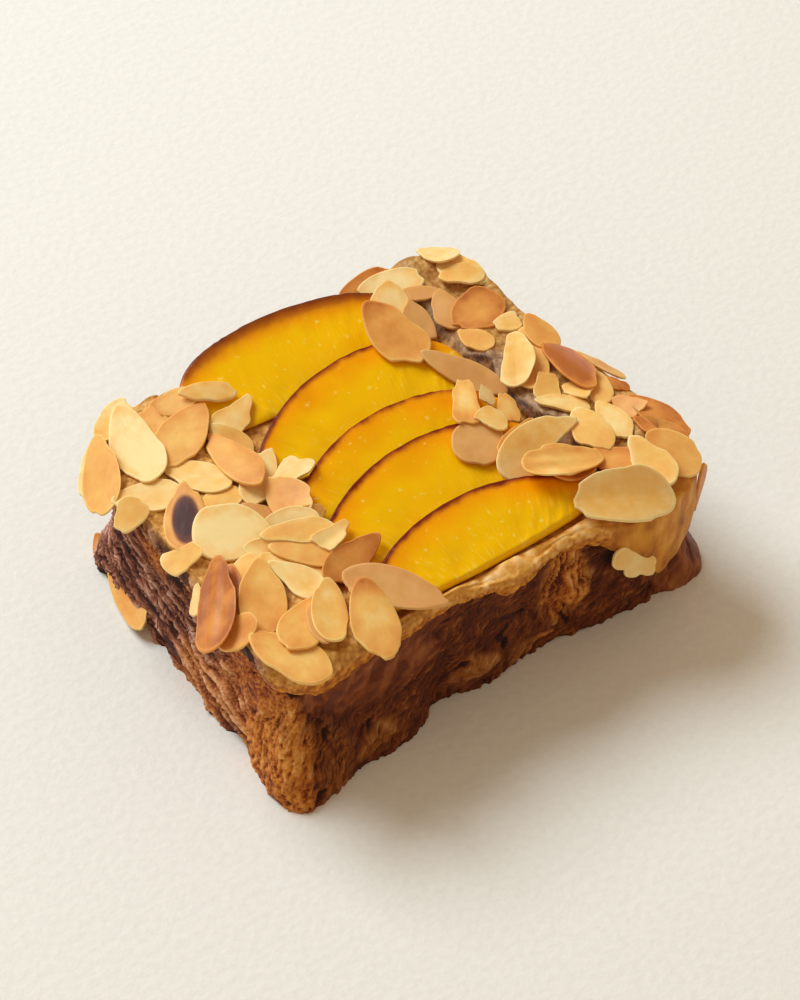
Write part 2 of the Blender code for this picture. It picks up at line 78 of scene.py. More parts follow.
# The slice, measured at the rim of its almond cream.
HALF_LENGTH = 57.3
HALF_WIDTH = 45.8
CENTRE_Y = 2.3
CORNER_POWER = 9.0          # of the superellipse: how square the corners are
# Way round the slice from its near left corner to each corner, counter-clockwise.
CORNER_WAYS = np.cumsum((0, 2 * HALF_LENGTH, 2 * HALF_WIDTH, 2 * HALF_LENGTH, 2 * HALF_WIDTH))

# The bread under the cream.
BREAD_TOP = 33.2
BREAD_INSET = 1.8           # how far its sides stay inside the cream's rim
SHOULDER_START = 30.0       # where its upper edge begins to round off
SHOULDER_INSET = 1.6
FOOT_HEIGHT = 17.0          # the crust flares out below this height

# The almond cream, with a bed for the fruit between two higher bands.
CREAM_TOP = 36.6
LEFT_BAND_RISE = 1.2
RIGHT_BAND_RISE = 1.6
BED_TOP = 35.0
BED_HALF_LENGTH = 31.5
BED_FRONT = -41.5
BED_WALL = 1.5
BED_FRONT_WALL = 0.7
CREAM_LIP = 32.6            # lowest edge of the cream where it doesn't run down
RIM_ROUNDING = 0.9          # how far inside its rim the cream begins to fall
SKIRT_GAP = 0.5             # between the cream's rim and the bread's side

# The peach slices: skins are arcs that bulge towards +Y, faces slope down to the stone's side.
PEACH_END = 30.5            # they reach from -X to +X by this much
PEACH_CREST = 43.0          # height of each skin at the top of its arc
PEACH_SLOPE = 0.30
PEACH_TURN = np.radians(-4)
PEACH_THINNING = 0.3        # share of their height that is lost at the ends
PEACH_END_POWER = 10        # how blunt their ends are
PEACH_END_ROUNDING = 0.45
PEACH_STONE_BEND = 1.5      # how far the stone's side bends back at the ends
GAP = 0.35                  # between pieces that touch
PEACHES = (
    # crest x, crest y, skin radius, width
    (-6.0, 47.2, 75.0, 23.0),
    (5.5, 25.8, 47.5, 21.5),
    (2.5, 7.2, 47.0, 20.5),
    (2.3, -4.7, 51.0, 21.5),
    (-0.2, -24.2, 51.0, 16.3),
)

# Flaked almonds.
FLAKE_THICKNESS = 1.0
FLAKE_TAPER = 0.25          # how much narrower the pointed half is
FLAKE_GRIP = 0.45           # how deep a flake sinks into what carries it
FLAKE_STEEPEST = 0.75
FLAKE_CLEARANCE = 0.45      # over fruit
MAP_REACH_X = 72.0          # of the map of heights, which has a cell a millimetre
MAP_REACH_Y = 62.0
PALE, GOLDEN, TOASTED, GREY, SPOTTED = range(5)

# The flakes that lie on top, in the order in which they came down, so later ones rest on earlier
# ones: x, y, length, width, the turn that the pointed end faces, and how the flake has baked.
FLAKES = (
    (-46, 42, 14, 7, -150, PALE), (-57.2, 33, 13, 6, 60, PALE), (-32, 38.5, 11, 6, 150, GOLDEN),
    (-39.5, 35, 15, 7, 75, GOLDEN), (-23, 27.5, 14, 8, 30, PALE), (-26.5, 23, 11, 6, 110, PALE),
    (-39, 8, 10, 7, 180, PALE), (-39.5, 17, 16.5, 8.5, 120, PALE), (-51.5, 18, 15.5, 8, 155, PALE),
    (-57.5, 16, 8.5, 6, -35, PALE), (-28.5, 8.5, 16, 7, 40, PALE), (-30.5, 16, 22, 8, 90, GOLDEN),
    (-35.5, 29, 19.5, 10.5, 30, GOLDEN), (-46, 32.5, 24, 11, 75, PALE), (-56.5, 30, 20, 8, 65, GOLDEN),
    (-24.5, 35.5, 13, 4.5, 155, PALE), (-33, -1.5, 11, 6, -35, GREY), (-48.5, 7.5, 19.5, 9, 60, SPOTTED),
    (-55.5, -1.5, 10, 6, 120, PALE), (-43, -2.5, 17, 13, -25, PALE), (-22.5, 4.5, 10, 8, -30, PALE),
    (-27.5, -1, 13.5, 8, 95, GOLDEN), (-40.5, -10.5, 8, 5, 130, PALE), (-25.5, -8, 6, 3.5, -15, GOLDEN),
    (-30.5, -7.5, 12, 5, 140, PALE), (-36.5, -17.5, 15.5, 6, 130, PALE),
    (-32.5, -16.5, 16.5, 6.5, 140, GOLDEN), (-31.5, -11.5, 16.5, 6, 155, PALE),
    (-26.5, -16.5, 10, 6, 10, PALE), (-25.5, -23, 16, 6.5, 10, TOASTED), (-38.5, -21.5, 14, 7, 115, PALE),
    (-47.5, -14.5, 13.5, 7, 45, PALE), (-52.5, -17, 15, 6, 60, TOASTED), (-48, -22, 20, 10, 60, GOLDEN),
    (-57.5, -26.5, 8.5, 7, 150, GOLDEN), (-57.8, -11.2, 6.5, 3.6, 50, PALE),
    (-57, -17.5, 21.5, 8.5, 55, TOASTED),
    (-52, -38.5, 19, 10, 115, GOLDEN), (-44.5, -33, 17, 9, 35, GOLDEN), (-40.5, -33.5, 15, 6, 60, GREY),
    (-38, -33, 18, 7.5, 60, GOLDEN), (-23.5, -36.5, 22, 9, -45, GREY), (-31.5, -40, 18, 10, 70, GOLDEN),
    (25.5, 45, 17, 6.5, 168, TOASTED), (30, 42, 15, 7, 150, PALE), (33.5, 35, 10, 5, 155, GREY),
    (46.5, 36, 12.5, 8, -65, PALE), (44.5, 43.5, 10, 8.5, 130, PALE), (45, 34.5, 11, 6.5, 155, PALE),
    (25.5, 35.5, 11, 9.5, 65, PALE), (28, 28, 12, 7, 75, GREY), (36, 28, 11, 7, 70, GREY),
    (41.5, 23.5, 14, 11, 180, TOASTED), (18.8, 24.4, 18, 12, 95, GOLDEN), (36, 16.5, 9, 6, 115, GOLDEN),
    (45, 16.5, 8, 5, 170, PALE), (27, 8.5, 20, 6.5, 125, GREY), (42, 4.5, 20, 8.5, 60, GOLDEN),
    (39, 5.5, 18, 8.5, 55, PALE), (49.5, 10, 11.5, 7.5, 80, GOLDEN), (55.5, -5.5, 13, 5, 112, GOLDEN),
    (53.5, -13.5, 7, 4, 105, TOASTED), (40, -5.5, 10, 7, 60, PALE), (49.5, -13, 9, 5, 65, PALE),
    (39.5, -12, 12, 5.5, 135, PALE), (45, -10.5, 8, 6.5, 120, PALE), (47.5, -3.5, 18, 6.5, 95, TOASTED),
    (55, -27, 17.5, 7, 100, TOASTED), (51.5, -21, 9, 5, 110, GOLDEN), (46, -22.5, 13.5, 6, 85, PALE),
    (52.5, -31.5, 14, 6, 110, TOASTED), (50.7, -38, 13.5, 8, 110, GOLDEN),
    (40.5, -35.5, 19, 9, 125, TOASTED), (44.5, -38, 15.5, 8, 90, PALE), (39.5, -22.5, 14, 9, 80, PALE),
    (17, -13.5, 15, 10.5, -10, GREY), (24.5, -16.5, 13, 6, 15, GOLDEN), (26.5, -20.5, 23, 9.5, 10, PALE),
    (29, -31, 13, 6, 0, TOASTED), (27, -29, 20, 11, -5, GOLDEN), (19.5, -2.5, 17, 7, 60, GOLDEN),
    (25, -2.5, 6, 4, 55, PALE), (28, -6.5, 9, 6, 65, GOLDEN), (21, -10, 7, 7, 160, PALE),
    (32, -43.2, 24, 10.5, 155, PALE),
)
# Flakes that stick to a side: middle, length, width, direction of the long axis, facing, bake.
STUCK_FLAKES = (
    ((57.5, -40.0, 25.0), 15.0, 8.0, (0.0, 0.1, -1.0), (0.6, -0.8, 0.2), TOASTED),
    ((33.5, -48.2, 22.5), 15.0, 7.5, (0.75, -0.1, -0.65), (0.0, -1.0, 0.15), PALE),
    ((-56.6, 22.0, 3.2), 18.0, 6.5, (0.15, 1.0, 0.0), (-0.6, 0.05, 0.8), GOLDEN),
    ((-53.0, 39.0, 3.0), 9.0, 5.0, (0.25, 1.0, 0.0), (-0.6, 0.1, 0.8), TOASTED),
)

# Places where an outline stands out from the plain slice: x, y, reach, spread.
SIDE_LOBES = (
    (57, 14, -6.0, 16.0),
    (57, 42, -4.0, 10.0),
    (-25, 48, -3.5, 20.0),
    (-57, 46, -4.0, 7.0),
)
FOOT_LOBES = (
    (-52, -41, 8.7, 8.0),
    (-51.5, -42, 2.6, 3.0),
    (-38, -43, 3.3, 6.5),
    (-27, -43, 3.9, 5.5),
    (-20.5, -43, 0.7, 3.0),
    (-16, -43, -1.4, 3.0),
    (-3, -43, 1.7, 5.5),
    (10.5, -43, -0.7, 3.0),
    (33, -43, 2.1, 8.5),
    (53.5, -43, 2.1, 3.6),
    (58, -36, 7.3, 9.0),
    (-59.5, -16, 3.0, 7.5),
    (-59.5, 4, 2.0, 9.0),
    (-58, 26, 2.2, 8.0),
    (-56, 44, 6.5, 7.0),
)
RIM_LOBES = (
    (-54, -44, 3.0, 8.0),
    (-18, -44, -1.0, 5.0),
    (3, -44, 2.5, 5.0),
    (37, -44, 5.5, 8.0),
    (52, -44, 2.0, 6.0),
    (-57, 14, -1.5, 10.0),
    (-57, -12, -1.0, 8.0),
)
# Where the cream's upper face swells: x, y, rise, spread.
CREAM_RISES = ((35, 46, 2.2, 8.0),)
# Places where the cream runs down the side: x, y, fall, spread.
RUNS = (
    (-28, -44, 1.5, 7.0),
    (41, -44, 18.0, 8.0),
    (55, -42, 9.0, 8.0),
    (-48, -44, 4.5, 6.0),
    (3, -44, 3.0, 4.0),
    (-57, 8, -0.8, 16.0),
)


def smoothstep(start, end, value):
    """Rise smoothly from 0 at start to 1 at end."""
    ratio = np.clip((value - start) / (end - start), 0.0, 1.0)
    return ratio * ratio * (3 - 2 * ratio)


def between(start, end, share):
    """Values that go from start to end as the share goes from 0 to 1."""
    return start * (1 - share) + end * share


def points(x, y, z=0.0):
    """Places as rows of x, y and z."""
    return np.stack(np.broadcast_arrays(x, y, z), axis=1)


def lobes_at(lobes, x, y):
    """Sum of the rounded lobes of a list at a place in plan."""
    total = 0.0 * x
    for lobe_x, lobe_y, reach, spread in lobes:
        distance_squared = (x - lobe_x) ** 2 + (y - lobe_y) ** 2
        total = total + reach * np.exp(-distance_squared / (2 * spread ** 2))
    return total


def slab_point(u, v, offset=0.0, lobes=(), lobe_share=1.0):
    """Place in plan of a point of the unit square, laid out on the rounded slab.

    Offset and lobes move it outwards. The slice's own lobes spread it from the middle.
    """
    power = CORNER_POWER
    edge = np.maximum(np.abs(u), np.abs(v))
    rounding = edge / np.maximum((np.abs(u) ** power + np.abs(v) ** power) ** (1 / power), 1e-9)
    across = u * rounding
    along = v * rounding
    x = HALF_LENGTH * across
    y = CENTRE_Y + HALF_WIDTH * along
    normal_x = np.sign(across) * np.abs(across) ** (power - 1) / HALF_LENGTH
    normal_y = np.sign(along) * np.abs(along) ** (power - 1) / HALF_WIDTH
    length = np.maximum(np.hypot(normal_x, normal_y), 1e-9)
    reach = offset + lobe_share * lobes_at(lobes, x, y)
    swell = smoothstep(0.6, 1, edge) * lobes_at(SIDE_LOBES, x, y)
    x = x + swell * across + reach * normal_x / length
    y = y + swell * along + reach * normal_y / length
    return x, y


def square_rim(turn):
    """Point of the unit square's edge, for turns from 0 to 1, counter-clockwise."""
    side = np.floor(turn * 4).astype(int) % 4
    step = 2 * (turn * 4 - np.floor(turn * 4)) - 1
    u = np.choose(side, (step, 1 + 0 * step, -step, -1 + 0 * step))
    v = np.choose(side, (-1 + 0 * step, step, 1 + 0 * step, -step))
    return u, v


def cream_height(x, y):
    """Height of the almond cream's upper face."""
    z = CREAM_TOP + LEFT_BAND_RISE * smoothstep(-30.5, -36, x)
    z = z + RIGHT_BAND_RISE * smoothstep(31.5, 36, x) * smoothstep(-44, -36, y)
    z = z + lobes_at(CREAM_RISES, x, y)
    z = z + 0.35 * np.sin(x / 2.9) * np.sin(y / 3.3 + 1) + 0.2 * np.sin(x / 1.9 + y / 2.3)
    in_bed = 1 - smoothstep(BED_HALF_LENGTH, BED_HALF_LENGTH + BED_WALL, np.abs(x))
    in_bed = in_bed * smoothstep(BED_FRONT, BED_FRONT + BED_FRONT_WALL, y)
    behind_fruit = y - peach_skin_y(0, x)
    in_bed = in_bed * (1 - smoothstep(3.5, 6, behind_fruit) * smoothstep(6, 14, x))
    return between(z, BED_TOP, in_bed)


def beyond_rim(x, y):
    """How far a place in plan lies outside the top of the cream's rounded rim."""
    lobes = SIDE_LOBES + RIM_LOBES
    side_x = HALF_LENGTH * np.sign(x)
    side_y = CENTRE_Y + HALF_WIDTH * np.sign(y - CENTRE_Y)
    beyond_x = np.abs(x) - HALF_LENGTH + RIM_ROUNDING - lobes_at(lobes, side_x, y)
    beyond_y = np.abs(y - CENTRE_Y) - HALF_WIDTH + RIM_ROUNDING - lobes_at(lobes, x, side_y)
    return np.hypot(np.maximum(beyond_x, 0), np.maximum(beyond_y, 0))


def peach_skin_y(index, x):
    """Plan outline of a peach slice's skin."""
    crest_x, crest_y, radius, _ = PEACHES[index]
    return crest_y - radius + np.sqrt(radius ** 2 - np.clip(x - crest_x, -radius, radius) ** 2)


def peach_stone_y(index, x):
    """Plan outline of a peach slice's inner edge."""
    _, crest_y, _, width = PEACHES[index]
    return crest_y - width + PEACH_STONE_BEND * (x / PEACH_END) ** 2


def peach_height(index, x, y):
    """Height of a peach slice's sloping face."""
    crest_x, crest_y, _, _ = PEACHES[index]
    down = (x - crest_x) * np.sin(PEACH_TURN) - (y - crest_y) * np.cos(PEACH_TURN)
    thick = PEACH_CREST - PEACH_SLOPE * down - BED_TOP
    return BED_TOP + thick * (1 - PEACH_THINNING * (x / PEACH_END) ** 6)


def peach_underside(index, x, y):
    """Lower face of a slice: clear of the slice behind it and of the cream."""
    lowest = BED_TOP + GAP + 0 * x
    if index == 0:
        return lowest
    crest_x, crest_y, _, _ = PEACHES[index]
    start = peach_height(index - 1, crest_x, crest_y) + GAP + 0.2
    down = (PEACH_CREST - peach_height(index, x, y)) / PEACH_SLOPE
    return np.maximum(start - 0.25 * down, lowest)


def peach_covers(index, x, y, margin):
    """Whether a place in plan lies on a slice, or within a margin of it."""
    across = np.clip(x / (PEACH_END + margin), -1, 1)
    ends = (1 - np.abs(across) ** PEACH_END_POWER) ** PEACH_END_ROUNDING
    skin = peach_skin_y(index, x) + margin
    stone = peach_stone_y(index, x) - margin
    inside = np.abs(y - (skin + stone) / 2) <= (skin - stone) / 2 * ends
    return inside & (np.abs(x) < PEACH_END + margin)


class Heights:
    """Map of the top of everything laid down so far, on which the next flake comes to rest."""

    def __init__(self):
        cells_x = np.arange(-MAP_REACH_X, MAP_REACH_X + 1)
        cells_y = np.arange(-MAP_REACH_Y, MAP_REACH_Y + 1)
        self.x, self.y = np.meshgrid(cells_x, cells_y, indexing="ij")
        self.z = cream_height(self.x, self.y) - 2.0 * beyond_rim(self.x, self.y)
        for index in range(len(PEACHES)):
            on_slice = peach_covers(index, self.x, self.y, 0.8)
            face = peach_height(index, self.x, self.y) + FLAKE_CLEARANCE + FLAKE_GRIP
            self.z = np.where(on_slice, np.maximum(self.z, face), self.z)

    def rest(self, flake):
        """Lowest plane through a flake's middle that sinks no deeper than the grip anywhere."""
        x, y = flake[:2]
        inside = flake_covers(flake, self.x, self.y)
        all_x, all_y, all_z = self.x[inside], self.y[inside], self.z[inside]
        angle = 2 * np.pi * np.arange(12) / 12
        rim_x, rim_y = flake_plan(flake, angle, 0.85)
        nearest = [np.argmin(np.hypot(all_x - px, all_y - py)) for px, py in zip(rim_x, rim_y)]
        chosen = sorted(set(nearest) | {int(np.argmax(all_z))})
        for _ in range(12):
            plane = resting_plane(all_x[chosen] - x, all_y[chosen] - y, all_z[chosen])
            sunk = all_z - plane[0] - plane[1] * (all_x - x) - plane[2] * (all_y - y)
            deepest = int(np.argmax(sunk))
            if sunk[deepest] < 0.02 or deepest in chosen:
                break
            chosen = chosen + [deepest]
        steepness = np.hypot(plane[1], plane[2])
        if steepness > FLAKE_STEEPEST:
            plane[1:] *= FLAKE_STEEPEST / steepness
            plane[0] = np.max(all_z - plane[1] * (all_x - x) - plane[2] * (all_y - y))
        plane[0] -= FLAKE_GRIP
        top = plane[0] + plane[1] * (self.x - x) + plane[2] * (self.y - y) + FLAKE_THICKNESS
        self.z = np.where(inside, np.maximum(self.z, top), self.z)
        return plane


def resting_plane(x, y, z):
    """Lowest plane over the origin that stays above all points: it touches three of them."""
    triples = np.array(list(combinations(range(len(x)), 3)))
    terms = np.stack([np.ones(len(x)), x, y], axis=1)
    solvable = np.abs(np.linalg.det(terms[triples])) > 0.5
    triples = triples[solvable]
    planes = np.linalg.solve(terms[triples], z[triples][..., None])[..., 0]
    above = (planes @ terms.T - z > -1e-4).all(axis=1)
    planes = planes[above]
    if len(planes) == 0:
        return np.array([z.max(), 0.0, 0.0])
    return planes[np.argmin(planes[:, 0])].copy()


def flake_plan(flake, angle, scale=1.0):
    """Plan outline of an almond flake, pointed at the end that its turn faces."""
    x, y, length, width, turn = flake
    along = scale * length / 2 * np.cos(angle)
    across = scale * width / 2 * np.sin(angle) * (1 - FLAKE_TAPER * np.cos(angle))
    cos_turn, sin_turn = np.cos(np.radians(turn)), np.sin(np.radians(turn))
    return x + along * cos_turn - across * sin_turn, y + along * sin_turn + across * cos_turn


def flake_covers(flake, x, y):
    """Whether a place in plan lies under a flake."""
    flake_x, flake_y, length, width, turn = flake
    cos_turn, sin_turn = np.cos(np.radians(turn)), np.sin(np.radians(turn))
    along = ((x - flake_x) * cos_turn + (y - flake_y) * sin_turn) / (length / 2)
    across = ((y - flake_y) * cos_turn - (x - flake_x) * sin_turn) / (width / 2)
    across = across / (1 - FLAKE_TAPER * np.clip(along, -1, 1))
    return along ** 2 + across ** 2 <= 1.0


def random_at(*whole):
    """Repeatable random values from 0 to 1 at whole-number places."""
    mixed = np.full(np.broadcast(*whole).shape, 2166136261, np.uint32)
    for axis in whole:
        mixed = (mixed ^ np.asarray(axis, np.int64).astype(np.uint32)) * np.uint32(2654435761)
        mixed ^= mixed >> np.uint32(15)
        mixed *= np.uint32(2246822519)
        mixed ^= mixed >> np.uint32(13)
    return mixed / 2.0 ** 32


def soft_noise(places, size, seed):
    """Smooth random field from -1 to 1, with features of a size in mm (one, or one an axis).

    Here and below the seed, a whole number of each call's own, picks which field it is.
    """
    scaled = places / np.asarray(size, float)
    cell = np.floor(scaled)
    part = scaled - cell
    part = part ** 3 * (part * (part * 6 - 15) + 10)
    cell = cell.astype(np.int64)
    total = np.zeros(len(places))
    for corner in product((0, 1), repeat=3):
        share = np.prod(np.where(corner, part, 1 - part), axis=1)
        x, y, z = (cell + corner).T
        total += share * random_at(x, y, z, seed)
    return 2 * total - 1


def layered_noise(places, size, seed, layers=3):
    """Smooth noise with finer and weaker noise on top of it."""
    total, weight = 0.0, 0.0
    for layer in range(layers):
        total = total + 0.5 ** layer * soft_noise(places, np.asarray(size) / 2 ** layer, seed + layer)
        weight += 0.5 ** layer
    return total / weight * 1.4


def ridges(places, size, seed):
    """Rounded valleys between sharp ridges, from 0 to 1 at the crests."""
    return 1 - np.abs(layered_noise(places, size, seed, 2))


def nearest_spot(places, size, seed):
    """Distance to the nearest of scattered spots, in spacings, and a random value for that spot."""
    scaled = places / np.asarray(size, float)
    cell = np.floor(scaled).astype(np.int64)
    nearest = np.full(len(places), 9.0)
    chosen = np.zeros(len(places))
    for step in product((-1, 0, 1), repeat=3):
        x, y, z = (cell + step).T
        spot = np.stack([random_at(x, y, z, seed + axis) for axis in range(3)], axis=1)
        distance = np.linalg.norm(cell + step + spot - scaled, axis=1)
        closer = distance < nearest
        nearest = np.where(closer, distance, nearest)
        chosen = np.where(closer, random_at(x, y, z, seed + 3), chosen)
    return nearest, chosen


def linear(hex_colour, alpha=1.0):
    """Linear colour with alpha from an sRGB hex value."""
    channels = [int(hex_colour[start:start + 2], 16) / 255 for start in (1, 3, 5)]
    return tuple(c / 12.92 if c <= 0.04045 else ((c + 0.055) / 1.055) ** 2.4 for c in channels) + (alpha,)


def across_mm(size):
    """Texture scale, in object coordinates, for features of a size in mm.

    Places that are kept with a mesh are in mm, so there a scale is one over a size.
    """
    return 1 / (size * MM)


def add_piece(name, places, faces, values, material, nodes):
    """Object from places in mm: it rides on the slice and stands for the solids named."""
    mesh = bpy.data.meshes.new(name)
    moved = (np.asarray(places) - (*MIDDLE, 0)) * MM
    mesh.from_pydata(moved.tolist(), [], faces)
    for value_name, value in values.items():
        kind = "FLOAT" if np.ndim(value) == 1 else "FLOAT_VECTOR"
        attribute = mesh.attributes.new(value_name, kind, "POINT")
        attribute.data.foreach_set("value" if kind == "FLOAT" else "vector", np.ravel(value))
    mesh.materials.append(material)
    mesh.shade_smooth()
    mesh.update()
    piece = bpy.data.objects.new(name, mesh)
    bpy.context.scene.collection.objects.link(piece)
    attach(piece, BODY)
    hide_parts(*nodes)
    return piece


def band_faces(start, count, rings):
    """Quads between successive closed rings of vertices, each ring above the one before."""
    here = np.arange(count)
    after = (here + 1) % count
    faces = []
    for ring in range(rings - 1):
        low, high = start + ring * count, start + (ring + 1) * count
        faces += np.stack([low + here, low + after, high + after, high + here], axis=1).tolist()
    return faces


def new_material(name):
    """Material with an empty node tree, and add_node for that tree."""
    material = bpy.data.materials.new(name)
    material.use_nodes = True
    material.node_tree.nodes.clear()
    return material, partial(add_node, material.node_tree)


def add_node(tree, kind, inputs=None, out=None, stops=(), **settings):
    """Add a node with its settings and links, and give the output named, or else its first.

    An input's value is a plain one, an sRGB hex colour, or another node's output. Stops are those
    of a colour ramp: position and hex colour.
    """
    node = tree.nodes.new(kind)
    for name, value in settings.items():
        setattr(node, name, value)
    for position, _ in stops[2:]:
        node.color_ramp.elements.new(position)
    for number, (position, colour) in enumerate(stops):
        node.color_ramp.elements[number].position = position
        node.color_ramp.elements[number].color = linear(colour)
    for key, value in (inputs or {}).items():
        named = [socket for socket in node.inputs if socket.name == key and socket.enabled]
        socket = named[0] if named else node.inputs[key]
        if isinstance(value, bpy.types.NodeSocket):
            tree.links.new(value, socket)
        elif isinstance(value, str):
            socket.default_value = linear(value)
        else:
            socket.default_value = value
    if out:
        return node.outputs[out]
    return next((socket for socket in node.outputs if socket.enabled), None)


BREAD_COLUMNS = 1000
BREAD_RINGS = 92
CREAM_COVERS = (30.5, 32.0)     # heights over which the torn side gives way to the cream
COVERED_INSET = 0.8             # how much further in the side lies under the cream


def way_round(turn):
    """Way along the side in mm from the near left corner: positive along the front."""
    way = np.interp(turn, (0, 0.25, 0.5, 0.75, 1), CORNER_WAYS)
    return np.where(turn < 0.5, way, way - CORNER_WAYS[-1])


def turned(way, z, degrees):
    """Places on the unrolled side, with their first axis turned up from the horizontal."""
    cos_turn, sin_turn = np.cos(np.radians(degrees)), np.sin(np.radians(degrees))
    return points(way * cos_turn + z * sin_turn, z * cos_turn - way * sin_turn)


def blot(way, z, places):
    """Soft-edged marks on the unrolled side, from 0 to 1: way, height, and spreads of each."""
    total = 0.0 * way
    for mark_way, mark_z, spread_way, spread_z in places:
        distance = ((way - mark_way) / spread_way) ** 2 + ((z - mark_z) / spread_z) ** 2
        total = np.maximum(total, smoothstep(1.6, 0.5, distance))
    return total


# Marks on the bread's sides: way along the side, height, spreads.
SMOOTH_PATCHES = (
    (20, 25, 15, 10), (33, 27, 9, 9), (8, 22, 5, 4), (106, 8, 6, 9), (113, 5, 6, 8),
    (125, 8, 8, 12),
)
UPRIGHT_FAN = (77, 21, 6.5, 13)     # strands that stand upright below the ledge
# Caramel on the crust. At the near corner its patches lie on the side that faces the lamp, as painted light.
AMBER_AND_LIGHT_PATCHES = (
    (-2, 13, 6, 15), (-7, 10, 10, 13), (8, 6, 9, 8), UPRIGHT_FAN, (51, 8, 5, 3.5), (66, 5, 6, 3),
    (24, 5, 6, 3),
)
TAN_PATCHES = ((-33, 6, 13, 8), (-24, 12, 7, 7), (-16, 14, 6, 8))
ORANGE_CRUMBS = ((-54, 30, 8, 7), (-37, 31, 6, 6), (-13, 26, 12, 7), (-21, 21, 6, 7), (-72, 30, 6, 5))
CRUMB_PATCHES = ((5, 7, 12, 13), (-8, 11, 8, 12))
# Painted shade: dark patches and slits in hollows under the cream's ledge and lobe, where shade falls.
SHADED_HOLLOWS = ((3, 26.8, 8, 2.2), (92, 19, 5, 5), (58.5, 11, 0.5, 2.8), (77, 8, 0.7, 2.8))
FOLDS = (
    # lumps and hollows of the front and the left side: way, height, reach, spread, turn in degrees
    (53, 8, 1.8, 6.5, 20), (67, 7, 1.3, 7.0, 15), (59, 9, -1.4, 2.2, 80), (77, 8, -1.5, 2.6, 75),
    (92, 19, -1.8, 5.0, 40), (96, 7, 1.4, 6.0, 10), (33, 9, 0.8, 8.0, 12), (13, 21, -0.8, 4.0, 65),
    (31, 27, -0.7, 3.0, 30), (23, 23, 0.6, 5.0, 40), (40, 24, -0.9, 6.0, 65), (3, 26.8, -2.4, 7.0, -10),
    (-14, 16, 1.0, 6.0, 60), (-33, 8, 1.0, 9.0, -12), (-24, 18, -1.0, 6.0, -50), (-46, 22, 0.7, 6.0, -20),
    (-54, 28, 1.0, 6.0, 0), (-62, 14, -0.8, 8.0, -20), (-1, 9, 2.2, 10.0, 88), (-7, 5, -1.0, 6.0, 80),
    (6, 8, -1.0, 7.0, 80), (19, 9, -0.8, 5.0, 30),
)


def torn_crumb(way, z, degrees, fineness, seed, stretch=1.0):
    """Relief of crumb torn into strands that run at an angle, from 0 in the gaps to 1."""
    places = turned(way / stretch, z / stretch, degrees) * (1, stretch, 1)
    broad = ridges(places, np.array((20, 4.2, 1)) * fineness, seed)
    middle = ridges(places, np.array((13, 1.9, 1)) * fineness, seed + 10)
    thin = ridges(places, np.array((9, 1.0, 1)) * fineness, seed + 20)
    return smoothstep(0.35, 1.0, 0.34 * broad + 0.36 * middle + 0.3 * thin)


def open_crumb(places, size, seed):
    """Relief of spongy crumb with small holes of mixed sizes, from 0 in the holes to 1."""
    large, chance = nearest_spot(places, size, seed)
    small, small_chance = nearest_spot(places, 0.5 * size, seed + 7)
    large_hole = smoothstep(0.45, 0.2, large) * smoothstep(0.5, 0.75, chance)
    small_hole = smoothstep(0.6, 0.2, small) * smoothstep(0.35, 0.65, small_chance)
    rough = 0.5 + 0.5 * layered_noise(places, 1.8, seed + 11, 3)
    return np.clip(0.32 + 0.8 * rough - 0.6 * large_hole - 0.3 * small_hole, 0, 1)


